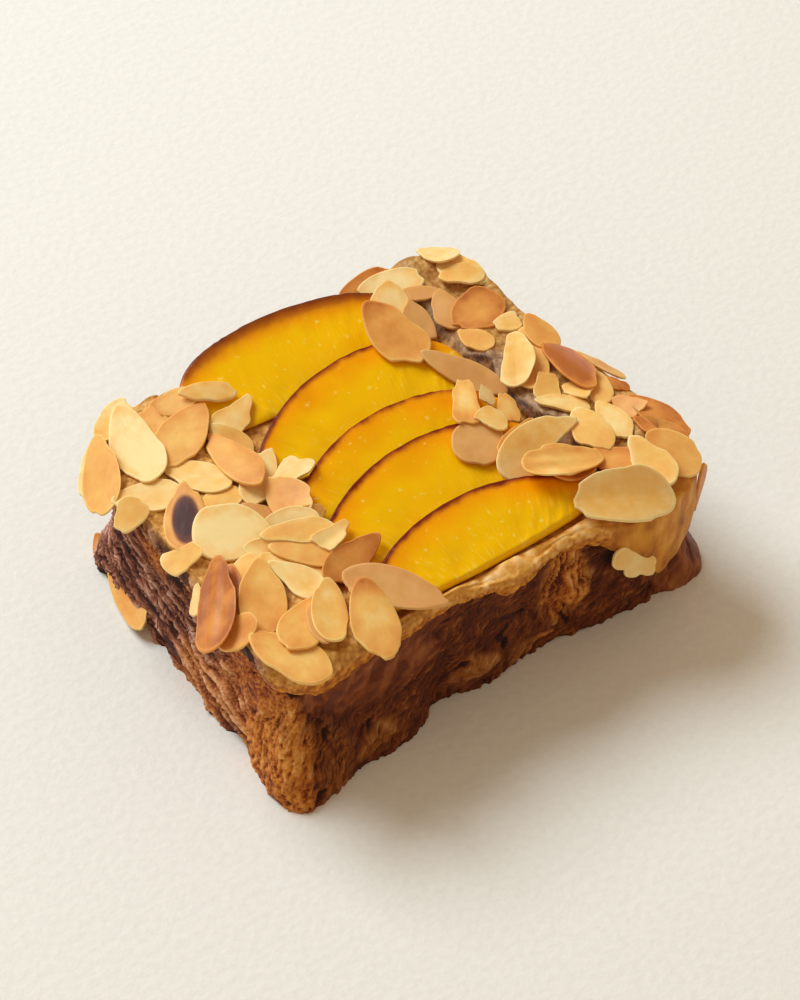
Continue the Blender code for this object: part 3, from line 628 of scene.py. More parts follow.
def bread_relief(way, z, places, depth):
    """Depth of each place on the bread's sides below its outline, and what its crumb is like.

    The left side has long, nearly level strands, and the front shorter ones that run up to the
    right. Marks and strands are laid out in a bent copy of the unrolled side, so none is straight.
    Some marks paint light and shade: lighter strand tops, dark recesses, and caramel that is bright
    on the corner's lit side and dimmed along the shaded front.
    """
    flat = points(way, z)
    bent_way = way + 2.2 * soft_noise(flat, (9, 6, 1), 31) + 0.8 * soft_noise(flat, 2.5, 33)
    bent_z = z + 2.0 * soft_noise(flat, (9, 7, 1), 37) + 0.5 * soft_noise(flat, 2.5, 39)
    left = smoothstep(1, -6, way + 2 * soft_noise(flat, 5, 43))
    left = left * smoothstep(-185, -120, way + 12 * soft_noise(flat, 14, 47))
    front_strand = 0.42 + 0.58 * torn_crumb(bent_way, bent_z, 38, 0.9, 100, 0.4)
    left_strand = torn_crumb((way + bent_way) / 2, (z + bent_z) / 2, -12, 0.7, 200, 1.3)
    strand = between(front_strand, left_strand, left)
    smooth = blot(bent_way, bent_z, SMOOTH_PATCHES)
    crumb = np.maximum(blot(bent_way, bent_z, CRUMB_PATCHES),
                       0.3 * smoothstep(0.2, 0.7, soft_noise(flat, 7, 45)))
    amber_and_light = blot(bent_way, bent_z, AMBER_AND_LIGHT_PATCHES) * (0.95 + 0.35 * soft_noise(flat, 3, 49))
    # Painted shade: the caramel is dimmed along the front, which faces away from the lamp.
    amber_and_light = amber_and_light * (1 - 0.7 * smoothstep(1, 9, way) * smoothstep(72, 66, way))
    orange = blot(bent_way, bent_z, ORANGE_CRUMBS)
    tan = blot(bent_way, bent_z, TAN_PATCHES)
    hollow_shade = blot(bent_way, bent_z, SHADED_HOLLOWS)
    fan = blot(bent_way, bent_z, (UPRIGHT_FAN,))
    strand = between(strand, torn_crumb(bent_way, bent_z, 84, 0.8, 300), fan)
    spongy = open_crumb(places, 1.9, 53)
    grains, _ = nearest_spot(places, 1.2, 59)
    lumps = (1 - smoothstep(0.1, 0.75, grains)) * (0.6 + 0.4 * soft_noise(places, 3, 57))
    creases = ridges(turned(bent_way, bent_z, 62), (9, 3.2, 1), 65)
    calm = 0.55 + 0.12 * soft_noise(flat, (4, 9, 1), 61) + 0.3 * smoothstep(0.5, 0.95, creases)
    folded = torn_crumb(bent_way, bent_z, 78, 0.7, 500)
    strand = between(strand, 0.5 * spongy + 0.5 * folded, crumb)
    strand = between(strand, 0.3 + 0.6 * lumps, orange)
    strand = between(strand, calm, smooth)
    gap, _ = nearest_spot(turned(bent_way, bent_z, 30) * (0.4, 1, 1), 5.5, 63)
    tear = smoothstep(0.24, 0.08, gap) * (1 - smooth)
    sunk = depth * (1 - strand) + 0.9 * tear + 0.10 * soft_noise(places, 0.8, 67)
    frayed = 0.5 * soft_noise(flat, (3.4, 5, 1), 69) + 0.15 * soft_noise(flat, 1.3, 70)
    sunk = sunk + smoothstep(5, 1, z) * frayed
    for fold_way, fold_z, reach, spread, degrees in FOLDS:
        along, across, _ = turned(way - fold_way, z - fold_z, degrees).T
        sunk = sunk - reach * np.exp(-(along / spread) ** 2 - (across / (0.5 * spread)) ** 2)
    # The crest mask paints light and shade: strand tops lighter as highlight, and gaps, tears and hollows
    # darker as shade.
    looks = {
        "crest": np.clip(strand - 0.6 * tear - 0.9 * hollow_shade, 0, 1), "left": left, "smooth": smooth,
        "amber_and_light": np.clip(amber_and_light, 0, 1), "orange": np.maximum(orange, 0.6 * tan), "hollow_shade": hollow_shade,
        "unrolled": flat,
    }
    return sunk, looks


def make_bread(settings):
    """The bread's torn sides, on its flat underside."""
    turn = (np.arange(BREAD_COLUMNS) + 0.5) / BREAD_COLUMNS
    u, v = square_rim(turn)
    levels = np.linspace(0, BREAD_TOP, BREAD_RINGS)
    turn, z = np.tile(turn, BREAD_RINGS), np.repeat(levels, BREAD_COLUMNS)
    u, v = np.tile(u, BREAD_RINGS), np.tile(v, BREAD_RINGS)
    shoulder = SHOULDER_INSET * smoothstep(SHOULDER_START, BREAD_TOP, z)
    foot = 1 - smoothstep(0, FOOT_HEIGHT, z)
    x, y = slab_point(u, v, -BREAD_INSET - shoulder, FOOT_LOBES, foot)
    places = points(x, y, z)
    sunk, looks = bread_relief(way_round(turn), z, places, settings.strand_depth / MM)
    covered = smoothstep(*CREAM_COVERS, z)
    offset = -BREAD_INSET - shoulder - sunk * (1 - covered) - COVERED_INSET * covered
    x, y = slab_point(u, v, offset, FOOT_LOBES, foot)
    faces = band_faces(0, BREAD_COLUMNS, BREAD_RINGS)
    last = BREAD_COLUMNS * (BREAD_RINGS - 1)
    faces.append(list(range(BREAD_COLUMNS))[::-1])
    faces.append(list(range(last, last + BREAD_COLUMNS)))
    places = points(x, y, z)
    material = bread_material(settings)
    return add_piece("torn_bread", places, faces, looks, material, ["bread"])


def bread_material(settings):
    """Brioche crumb soaked in syrup and baked dark: torn strands, brown and painted lighter on top as
    highlight, and darker between as painted shade.

    The syrup leaves a thin uneven glaze, thickest on the smooth pressed patches, and caramel sugar
    where the crust caramelised near the foot. The caramel is painted brightest where light falls on
    the corner's side, and darker, as painted shade, along the front.
    """
    material, add = new_material("caramelised_brioche_crumb")
    crest, left, smooth, amber_and_light, orange, hollow_shade = [
        add("ShaderNodeAttribute", out="Fac", attribute_name=name)
        for name in ("crest", "left", "smooth", "amber_and_light", "orange", "hollow_shade")]
    unrolled = add("ShaderNodeAttribute", out="Vector", attribute_name="unrolled")
    place = add("ShaderNodeTexCoord", out="Object")
    mottle = add("ShaderNodeTexNoise", {"Vector": place, "Scale": across_mm(5), "Detail": 4.0})
    pores = add("ShaderNodeTexNoise", {"Vector": place, "Scale": across_mm(0.9), "Detail": 4.0})
    # Strands are 0.6 mm thick. They are 8 mm long on the left side and 2.5 mm elsewhere.
    wavy = add("ShaderNodeTexNoise", {"Vector": unrolled, "Scale": 0.12, "Detail": 2.0}, out="Color")
    wavy = add("ShaderNodeVectorMath", {0: wavy, 1: (9.0, 9.0, 0.0), 2: unrolled}, operation="MULTIPLY_ADD")
    fibres = {}
    for side, degrees, strand_scale in (("left", 12, 0.12), ("front", -38, 0.4)):
        strand = add("ShaderNodeMapping", {"Vector": wavy, "Rotation": (0, 0, np.radians(degrees))})
        strand = add("ShaderNodeMapping", {"Vector": strand, "Scale": (strand_scale, 1.7, 1.0)})
        fibres[side] = add("ShaderNodeTexNoise", {"Vector": strand, "Scale": 1.0, "Detail": 4.0})
    fibre = add("ShaderNodeMix", {"Factor": left, "A": fibres["front"], "B": fibres["left"]})
    rough_share = add("ShaderNodeMath", {0: amber_and_light, 1: 0.65}, operation="MULTIPLY")
    rough_share = add("ShaderNodeMath", {0: rough_share, 1: orange}, operation="MAXIMUM")
    fibre = add("ShaderNodeMix", {"Factor": rough_share, "A": fibre, "B": pores})
    # Painted light and shade: crests are painted lighter, as highlight, and the gaps between them darker, as
    # shade.
    tone = add("ShaderNodeMath", {0: fibre, 1: 1.5, 2: crest}, operation="MULTIPLY_ADD")
    tone = add("ShaderNodeMath", {0: tone, 1: 0.78}, operation="SUBTRACT")
    # The left side's ramp is lighter and pinker than the front's: partly its own longer crumb, partly painted
    # light, as the lamp falls on that side while the front is in shade, with a painted pinkish sheen at its
    # palest.
    colours = {
        "front": ((0.0, "#1c0702"), (0.3, "#4a1a06"), (0.6, "#6c2f0c"), (0.85, "#7e3d12"), (1.0, "#985822")),
        "left": ((0.0, "#260c07"), (0.3, "#5c2b1c"), (0.55, "#985a3f"), (0.8, "#c48c72"), (1.0, "#e4b9a2")),
        "amber_and_light": ((0.0, "#561a04"), (0.25, "#9c4b0e"), (0.5, "#d37d28"), (0.78, "#e69d48"), (1.0, "#f2be78")),
        "orange": ((0.0, "#5e2008"), (0.3, "#a64e18"), (0.6, "#d38034"), (0.85, "#e89e50"), (1.0, "#f2be7c")),
    }
    ramps = {
        name: add("ShaderNodeValToRGB", {"Fac": tone}, stops=stops)
        for name, stops in colours.items()
    }
    # The pressed patches get the same painted highlight on their crests.
    pressed = add("ShaderNodeMath", {0: crest, 1: 0.8, 2: mottle}, operation="MULTIPLY_ADD")
    pressed = add("ShaderNodeMath", {0: pressed, 1: 0.58}, operation="SUBTRACT")
    ramps["smooth"] = add(
        "ShaderNodeValToRGB", {"Fac": pressed},
        stops=((0.3, "#652a0a"), (0.5, "#864218"), (0.65, "#975324"), (1.0, "#b67840")))
    colour = ramps["front"]
    # Painted shade: near black in the hollows.
    ramps["hollow_shade"] = "#300802"
    layers = {"left": left, "smooth": smooth, "amber_and_light": amber_and_light, "orange": orange, "hollow_shade": hollow_shade}
    for name, share in layers.items():
        colour = add("ShaderNodeMix", {"Factor": share, "A": colour, "B": ramps[name]}, data_type="RGBA")
    roughness = add("ShaderNodeMapRange", {"Value": smooth, "To Min": 0.7, "To Max": 0.45})
    strength = add("ShaderNodeMapRange", {"Value": smooth, "To Min": 1.0, "To Max": 0.15})
    bump = add("ShaderNodeBump", {"Height": fibre, "Strength": strength, "Distance": 0.8 * MM})
    shader = add("ShaderNodeBsdfPrincipled", {
        "Base Color": colour, "Roughness": roughness, "Normal": bump, "IOR": 1.45,
        "Specular IOR Level": 0.25, "Coat Weight": settings.glaze, "Coat Roughness": 0.28,
        "Coat IOR": 1.45,
    })
    add("ShaderNodeOutputMaterial", {"Surface": shader})
    return material


CREAM_COLUMNS = 260
CREAM_ROWS = 210
SKIRT_RINGS = 18
PROFILE_RINGS = (0, 2, 4, 8, 11, 12.5, 14, 15, 16, 17, 18)      # the ring at each row of its profile
STEP_HEIGHT = 1.1           # of the right band's upper layer of cream
LEDGE_HALF_LENGTH = 34.0    # the crumbly ledge in front of the fruit
# The edge at which the right band's upper layer of cream ends, towards the fruit, drawn as a dark line.
STEP_LINE = (
    (33.0, 46.0), (31.5, 34.0), (30.0, 25.0), (29.0, 20.8), (31.4, 16.4), (33.3, 13.1), (35.1, 9.8),
    (33.2, 4.4), (33.1, -4.5), (34.0, -10.8), (37.1, -16.1), (39.0, -21.0), (37.0, -30.0), (33.0, -38.0),
)


def square_grid(columns, rows):
    """Places of a grid on the unit square, its quads, and its rim in counter-clockwise order."""
    u, v = np.meshgrid(np.linspace(-1, 1, columns + 1), np.linspace(-1, 1, rows + 1))
    number = np.arange(u.size).reshape(u.shape)
    quads = np.stack(
        [number[:-1, :-1], number[:-1, 1:], number[1:, 1:], number[1:, :-1]], axis=2).reshape(-1, 4)
    rim = [number[0, :-1], number[:-1, -1], number[-1, :0:-1], number[:0:-1, 0]]
    return u.ravel(), v.ravel(), quads.tolist(), np.concatenate(rim)


def lumpy(places, size, seed):
    """Relief of grains baked together, from 0 between them to 1 on top."""
    distance, chance = nearest_spot(places, size, seed)
    return (1 - smoothstep(0.05, 0.8, distance)) * (0.55 + 0.45 * chance)


def beyond_step(x, y):
    """How far each place lies beyond the step line, on the right band's side."""
    step_x, step_y = np.array(STEP_LINE[::-1]).T
    return x - np.interp(y, step_y, step_x)


def cream_zones(x, y, z):
    """What the cream is like at each place: shares of each way in which it baked."""
    places = points(x, y, z)
    stray = 1.5 * soft_noise(places, 7, 71)
    beyond = beyond_step(x, y) + 0.5 * soft_noise(places, 1.5, 73)
    on_top = smoothstep(34.5, 36, z) * smoothstep(46, 42, y) * smoothstep(-40, -36, y)
    # A dark line on both sides of the step's edge.
    dark_step_line = smoothstep(0.65, 0.1, np.abs(beyond)) * on_top
    syrup = smoothstep(0.3, -0.3, beyond) * smoothstep(27, 29, x) * on_top
    greyed = smoothstep(0, 0.6, beyond) * smoothstep(6, 2, beyond) * on_top
    ledge = smoothstep(BED_FRONT + 1.6, BED_FRONT + 0.2, y + 0.3 * stray)
    ledge = ledge * smoothstep(LEDGE_HALF_LENGTH + 3, LEDGE_HALF_LENGTH - 5, x + stray)
    ledge = ledge * smoothstep(-24, -18, x + stray) * smoothstep(31.5, 33.5, z)
    lobe = smoothstep(24, 31, x + stray) * smoothstep(-37, -40, y + stray)
    lobe = np.maximum(lobe, smoothstep(55, 57, x) * smoothstep(-26, -32, y + stray))
    band = smoothstep(31, 33, x) * (1 - lobe)
    crust = smoothstep(-54.5, -56.0, x + 0.4 * stray) * smoothstep(37.5, 36.3, z + 0.4 * stray)
    crust = crust * smoothstep(-40, -35, y + stray)
    lip = smoothstep(36.0, 33.5, z) * (1 - crust)
    return {
        "ledge": ledge, "lobe": lobe, "band": band, "greyed": greyed, "syrup": syrup, "crust": crust,
        "lip": lip, "dark_step_line": dark_step_line,
    }


def grainy(places):
    """Fine relief of ground almonds, from 0 between the grains to 1 on top."""
    return 0.6 * lumpy(places, 1.7, 73) + 0.4 * lumpy(places, 0.8, 79)


def cream_face(u, v, grain_height):
    """Upper face of the cream: its places, and how high its grain stands at each."""
    edge = np.maximum(np.abs(u), np.abs(v))
    lobes_start = (CENTRE_Y - BED_FRONT) / HALF_WIDTH
    near_rim = smoothstep(0.975, 1, edge)
    x, y = slab_point(u, v, -RIM_ROUNDING * near_rim, RIM_LOBES, smoothstep(lobes_start, 1, edge))
    z = cream_height(x, y) - 0.4 * near_rim
    flat = points(x, y)
    ledge = cream_zones(x, y, z)["ledge"]
    clear_of_fruit = 1 - smoothstep(BED_HALF_LENGTH + 2.5, BED_HALF_LENGTH + 0.8, np.abs(x)) * smoothstep(
        BED_FRONT - 0.6, BED_FRONT + 0.4, y)
    grain = grainy(flat)
    grain = between(grain, 0.3 * grain + 0.7 * lumpy(flat, 3.0, 87), ledge)
    height = grain_height * (0.45 + 0.9 * ledge)
    z = z + clear_of_fruit * (height * (grain - 0.35) + 0.35 * soft_noise(flat, 3.5, 83))
    upper_layer = smoothstep(-0.5, 0.5, beyond_step(x, y) + 0.4 * soft_noise(flat, 1.5, 91))
    right_band = smoothstep(BED_HALF_LENGTH - 2, BED_HALF_LENGTH + 1, x)
    z = z - STEP_HEIGHT * (1 - upper_layer) * right_band * clear_of_fruit
    return points(x, y, z), grain


def skirt_profile(lip, rim_height):
    """Section of the cream's side, from its rim out, down to its lip, and in and up by the bread."""
    widest_z = CREAM_TOP - 1.4
    shoulder_z = BREAD_TOP - 0.6
    inside = SKIRT_GAP - BREAD_INSET
    return (
        # offset, share of the rim's lobes, height
        (-RIM_ROUNDING, 1.0, rim_height),
        (0.1, 1.0, widest_z + 0.7 + 0 * lip),
        (0.55, 1.0, widest_z + 0 * lip),
        (0.8, 0.9, (lip + widest_z) / 2),
        (0.5, 0.7, lip + 1.2),
        (0.2, 0.5, lip + 0.4),
        (-0.4, 0.3, lip),
        (inside, 0.0, lip + 0.1),
        (inside - 0.05, 0.0, lip + 0.85 * (shoulder_z - lip)),
        (inside - 0.6, 0.0, np.maximum(shoulder_z, lip + 0.2)),
        (inside - SHOULDER_INSET, 0.0, BREAD_TOP + SKIRT_GAP + 0 * lip),
    )


def cream_side(rim_u, rim_v, way, profile):
    """Rings of the cream's side below its rim, and how high the grain stands on each."""
    rings, crest = [], []
    for ring in range(1, SKIRT_RINGS + 1):
        after = int(np.searchsorted(PROFILE_RINGS, ring))
        before_ring, after_ring = PROFILE_RINGS[after - 1], PROFILE_RINGS[after]
        share = (ring - before_ring) / (after_ring - before_ring)
        offset, lobe_share, height = (
            between(before, beyond, share) for before, beyond in zip(profile[after - 1], profile[after]))
        x, y = slab_point(rim_u, rim_v, offset, RIM_LOBES, lobe_share)
        zones = cream_zones(x, y, height)
        grain = grainy(points(x, y, height))
        strand = torn_crumb(way, height, -24, 0.8, 400)
        drip = soft_noise(points(way, height), (2.6, 12, 1), 101)
        relief = between(0.7 * (grain - 0.4), 0.35 * drip, zones["lobe"])
        relief = between(relief, 1.5 * (strand - 0.8), zones["crust"])
        in_sight = smoothstep(0.5, 2, ring) * smoothstep(15, 12, ring)
        x, y = slab_point(rim_u, rim_v, offset + in_sight * relief, RIM_LOBES, lobe_share)
        rings.append(points(x, y, height))
        crest.append(np.where(zones["crust"] > 0.5, strand, grain))
    return rings, crest


def make_cream(settings):
    """The almond cream: its upper face, and the rim that runs down over the bread."""
    u, v, faces, rim = square_grid(CREAM_COLUMNS, CREAM_ROWS)
    face_places, face_crest = cream_face(u, v, settings.grain_height / MM)
    rim_u, rim_v = u[rim], v[rim]
    count = len(rim)
    turn = np.arange(count) / count
    long_side = CREAM_COLUMNS / count
    way = np.interp(turn, (0, long_side, 0.5, 0.5 + long_side, 1), CORNER_WAYS)
    rim_x, rim_y = slab_point(rim_u, rim_v)
    rim_flat = points(rim_x, rim_y)
    ragged = soft_noise(rim_flat, 3.2, 89) + 0.6 * soft_noise(rim_flat, 1.4, 97)
    lip = CREAM_LIP - lobes_at(RUNS, rim_x, rim_y) + settings.raggedness / MM * ragged
    rings, crest = cream_side(rim_u, rim_v, way, skirt_profile(lip, face_places[rim, 2]))
    places = np.concatenate([face_places] + rings)
    start = len(face_places)
    for ring in range(SKIRT_RINGS):
        low = start + ring * count + np.arange(count)
        high = rim if ring == 0 else low - count
        faces += np.stack([low, np.roll(low, -1), np.roll(high, -1), high], axis=1).tolist()
    faces.append(list(range(start + (SKIRT_RINGS - 1) * count, start + SKIRT_RINGS * count))[::-1])
    looks = cream_zones(*places.T)
    looks["crest"] = np.concatenate([face_crest] + crest)
    material = cream_material(settings)
    return add_piece("baked_almond_cream", places, faces, looks, material, ["almond_cream"])


def cream_material(settings):
    """Almond cream baked to a crust: grainy and golden, browner on its rim, moist by the fruit.

    Ground almonds leave a crumbly grain. Where the cream ran over the front it set smooth and
    caramel-coloured, and the band on the right is greyer from the syrup under it.
    """
    material, add = new_material("baked_almond_cream")
    zones = ("band", "greyed", "syrup", "ledge", "lip", "lobe", "crust", "dark_step_line")
    crest, *shares = [
        add("ShaderNodeAttribute", out="Fac", attribute_name=name) for name in ("crest",) + zones]
    place = add("ShaderNodeTexCoord", out="Object")
    # Ground almonds are 0.7 mm across, and the streaks of what ran down are 4 mm wide.
    grit = add("ShaderNodeTexNoise", {"Vector": place, "Scale": across_mm(0.7), "Detail": 3.0})
    # Painted light and shade: the tops of the grains are painted paler and the gaps between them darker, on
    # top of the grit's own random tone.
    tone = add("ShaderNodeMath", {0: grit, 1: 0.6, 2: crest}, operation="MULTIPLY_ADD")
    tone = add("ShaderNodeMath", {0: tone, 1: 0.3}, operation="SUBTRACT")
    streak = add("ShaderNodeMapping", {"Vector": place, "Scale": (across_mm(4), across_mm(4), across_mm(9))})
    streak = add("ShaderNodeTexNoise", {"Vector": streak, "Scale": 1.0, "Detail": 4.0})
    colours = {
        "plain": (tone, ((0.0, "#b06f28"), (0.4, "#dba04c"), (0.8, "#f0be72"), (1.0, "#f9d89a"))),
        "band": (tone, ((0.0, "#a0662c"), (0.4, "#cd9850"), (0.8, "#e0b676"), (1.0, "#efd09e"))),
        "greyed": (tone, ((0.0, "#8a6442"), (0.4, "#bb946a"), (0.8, "#d6b68c"), (1.0, "#ead6b8"))),
        "syrup": (tone, ((0.0, "#4d2206"), (0.4, "#8a5218"), (0.8, "#b07a34"), (1.0, "#d6a55c"))),
        "ledge": (tone, ((0.0, "#d28a2c"), (0.3, "#e9ab50"), (0.65, "#f5c784"), (1.0, "#ffe4b8"))),
        "lip": (tone, ((0.0, "#92480a"), (0.35, "#cf8020"), (0.75, "#e9a23c"), (1.0, "#f6c070"))),
        "lobe": (streak, ((0.3, "#9a5212"), (0.45, "#c67c20"), (0.6, "#da9432"), (0.8, "#efb45a"))),
        "crust": (tone, ((0.0, "#34130c"), (0.35, "#6f3f2b"), (0.7, "#9c6748"), (1.0, "#cf9a70"))),
        "dark_step_line": (tone, ((0.0, "#351608"), (0.5, "#63381f"), (1.0, "#96694a"))),
    }
    ramps = {
        name: add("ShaderNodeValToRGB", {"Fac": value}, stops=stops)
        for name, (value, stops) in colours.items()
    }
    colour = ramps["plain"]
    for share, name in zip(shares, zones):
        colour = add("ShaderNodeMix", {"Factor": share, "A": colour, "B": ramps[name]}, data_type="RGBA")
    bump = add("ShaderNodeBump", {"Height": grit, "Strength": 0.5, "Distance": 0.25 * MM})
    shader = add("ShaderNodeBsdfPrincipled", {
        "Base Color": colour, "Roughness": settings.cream_roughness, "Normal": bump, "IOR": 1.45,
        "Specular IOR Level": 0.25, "Subsurface Weight": 0.15, "Subsurface Radius": (1.0, 0.5, 0.2),
        "Subsurface Scale": 1.5 * MM,
    })
    add("ShaderNodeOutputMaterial", {"Surface": shader})
    return material


SHAPE_SEED = 700            # of the first flake: each has one of its own
BAKING_SEED = 11
FLAKE_SIDES = 80
# Rings of a flake, as shares of its reach: on top, round its rim (with shares of its thickness)
# and below.
FLAKE_TOP = (0.25, 0.47, 0.66, 0.81, 0.91, 0.965)
FLAKE_EDGE = ((0.992, 0.93), (1.0, 0.62), (0.998, 0.25))
FLAKE_UNDERSIDE = (0.96, 0.66, 0.33)
# Where flakes have snapped: the turn, in degrees from the pointed end, that each break faces, and
# the share of the flake that is left that way.
SNAPS = {
    3: ((10, 0.8),), 4: ((54, 0.7), (-125, 0.75)), 9: ((170, 0.8),), 18: ((150, 0.68), (-60, 0.8)),
    20: ((151, 0.72), (-80, 0.85)), 23: ((100, 0.7), (200, 0.7)), 28: ((80, 0.66), (190, 0.7)),
    30: ((175, 0.8), (60, 0.8)), 35: ((90, 0.7), (-30, 0.8)), 45: ((0, 0.8), (120, 0.75)),
    50: ((180, 0.7),), 55: ((0, 0.75), (180, 0.75)), 57: ((90, 0.6),), 58: ((85, 0.62),),
    61: ((20, 0.7), (140, 0.7)), 62: ((0, 0.7), (75, 0.75), (-100, 0.8)), 64: ((90, 0.75),),
    65: ((95, 0.72), (-90, 0.78), (180, 0.8)), 68: ((-90, 0.75), (170, 0.75)), 74: ((150, 0.78),),
    75: ((0, 0.6),), 76: ((-10, 0.8), (90, 0.75)), 77: ((-72, 0.62),), 78: ((0, 0.8),),
    80: ((0, 0.86), (180, 0.84), (90, 0.86), (-90, 0.8)), 81: ((0, 0.75), (180, 0.8), (90, 0.7)),
    82: ((0, 0.85), (180, 0.8), (80, 0.75)), 83: ((40, 0.8),), 84: ((-8, 0.86), (95, 0.9)),
    86: ((100, 0.75), (10, 0.85)), 85: ((60, 0.8),),
}
# Where a bite is missing from a flake's rim: turn, depth as a share of the reach, and half width.
BITES = {
    4: ((-62, 0.2, 20),), 20: ((62, 0.3, 20),), 21: ((140, 0.16, 14), (-130, 0.14, 12), (20, 0.12, 16)),
    28: ((-40, 0.2, 16),), 35: ((60, 0.2, 14), (-60, 0.18, 12)), 52: ((25, 0.13, 9),),
    60: ((-100, 0.3, 18),), 61: ((-90, 0.3, 16),), 79: ((115, 0.22, 13), (60, 0.08, 9)),
    82: ((-85, 0.2, 16),), 84: ((70, 0.1, 12), (130, 0.12, 14)), 86: ((-120, 0.35, 16), (-60, 0.2, 10)),
}
CURLED_FLAKES = (22, 28, 58, 66, 79, 84)
RIDGED_FLAKES = (32, 36, 79)
BROWN_TIPPED_FLAKES = (42, 53)
BAKED = {PALE: 0.01, GOLDEN: 0.28, TOASTED: 0.62, GREY: 0.24, SPOTTED: 0.34}    # share of the way to brown


def flake_shape(number, length, width):
    """One sliced almond about its own middle: where each place lies, and how near it is to the rim.

    The outline is a little uneven and some slices have snapped. A slice is an even, thin plate with
    a crisp rim, and bends and twists slightly in baking.
    """
    rng = np.random.default_rng(SHAPE_SEED + number)
    angle = 2 * np.pi * np.arange(FLAKE_SIDES) / FLAKE_SIDES
    outline = 1.05 + 0 * angle
    for turns in (2, 3, 5, 8):
        outline = outline + rng.uniform(-0.1, 0.1) / turns * np.cos(turns * angle + rng.uniform(0, 6.3))
    chips = tuple((rng.uniform(turn, turn + 150), rng.uniform(0.9, 1.02)) for turn in (-170, 20))
    for turn, depth, half_width in BITES.get(number, ()):
        away = (np.degrees(angle) - turn + 180) % 360 - 180
        outline = outline - depth * np.exp(-(away / half_width) ** 2)
    for turn, left in SNAPS.get(number, ()) + chips:
        facing = np.maximum(np.cos(angle - np.radians(turn)), 0.05)
        wavy = 1 + 0.03 * np.sin(7 * angle + rng.uniform(0, 6.3)) + rng.uniform(-0.012, 0.012, FLAKE_SIDES)
        outline = np.minimum(outline, left * wavy / facing)
    pointed = rng.uniform(0.0, 0.22)
    edge_shares, edge_heights = zip(*FLAKE_EDGE)
    shares = np.array(FLAKE_TOP + edge_shares + FLAKE_UNDERSIDE)
    upper = np.array((1.0,) * len(FLAKE_TOP) + edge_heights + (0.0,) * len(FLAKE_UNDERSIDE))
    share, upper = np.repeat(shares, FLAKE_SIDES), np.repeat(upper, FLAKE_SIDES)
    scale = share * np.tile(outline, len(shares))
    angle = np.tile(angle, len(shares))
    share, upper = np.append(share, (0, 0)), np.append(upper, (1, 0))
    angle, scale = np.append(angle, (0, 0)), np.append(scale, (0, 0))
    reach, spread = flake_plan((0, 0, length, width, 0), angle, scale)
    spread = spread * np.maximum(np.abs(np.sin(angle)), 0.02) ** pointed
    along, across = 2 * reach / length, 2 * spread / width
    bend, cup, twist = rng.uniform(-0.035, 0.035), rng.uniform(-0.03, 0.03), rng.uniform(-0.025, 0.025)
    rise = np.abs(bend) * length * (along ** 2 if bend > 0 else 1 - along ** 2)
    rise = rise + np.abs(cup) * width * (across ** 2 if cup > 0 else 1 - across ** 2)
    rise = rise + twist * width * along * across
    if number in CURLED_FLAKES:
        rise = rise + 0.22 * width * np.clip(-across, 0, 1) ** 1.6
    if number in RIDGED_FLAKES:
        rise = rise + 0.22 * np.cos(7.5 * across + 1.5 * along) * smoothstep(1, 0.6, share)
    own = points(reach, spread, 20 * number)
    ripple = 0.09 * soft_noise(own, (4.5, 3.0, 1), 107) + 0.035 * soft_noise(own, 1.3, 109)
    lift = upper * rng.uniform(0.68, 0.88) * FLAKE_THICKNESS + rise + ripple * smoothstep(1, 0.9, share)
    return reach, spread, lift, share, own


def flake_faces(first):
    """Faces of one flake whose vertices start at a number: rings from the top's middle round below."""
    rings = len(FLAKE_TOP) + len(FLAKE_EDGE) + len(FLAKE_UNDERSIDE)
    faces = [face[::-1] for face in band_faces(first, FLAKE_SIDES, rings)]
    top, bottom = first + rings * FLAKE_SIDES, first + rings * FLAKE_SIDES + 1
    last = first + (rings - 1) * FLAKE_SIDES
    for side in range(FLAKE_SIDES):
        after = (side + 1) % FLAKE_SIDES
        faces.append([top, first + side, first + after])
        faces.append([bottom, last + after, last + side])
    return faces


def lying_places(row, plane, reach, spread, lift):
    """Places of a flake that lies on the slice, from those about its own middle."""
    x, y, _, _, turn = row
    middle, slope_x, slope_y = plane
    cos_turn, sin_turn = np.cos(np.radians(turn)), np.sin(np.radians(turn))
    away_x = reach * cos_turn - spread * sin_turn
    away_y = reach * sin_turn + spread * cos_turn
    return points(x + away_x, y + away_y, middle + slope_x * away_x + slope_y * away_y + lift)


def stuck_places(row, reach, spread, lift):
    """Places of a flake that sticks to a side, from those about its own middle."""
    middle, _, _, along, facing = row
    along = np.array(along) / np.linalg.norm(along)
    facing = np.array(facing) - np.dot(facing, along) * along
    facing = facing / np.linalg.norm(facing)
    across = np.cross(facing, along)
    on_plane = np.array(middle) + np.outer(reach, along) + np.outer(spread, across)
    return on_plane + np.outer(lift - 0.5 * FLAKE_THICKNESS, facing)


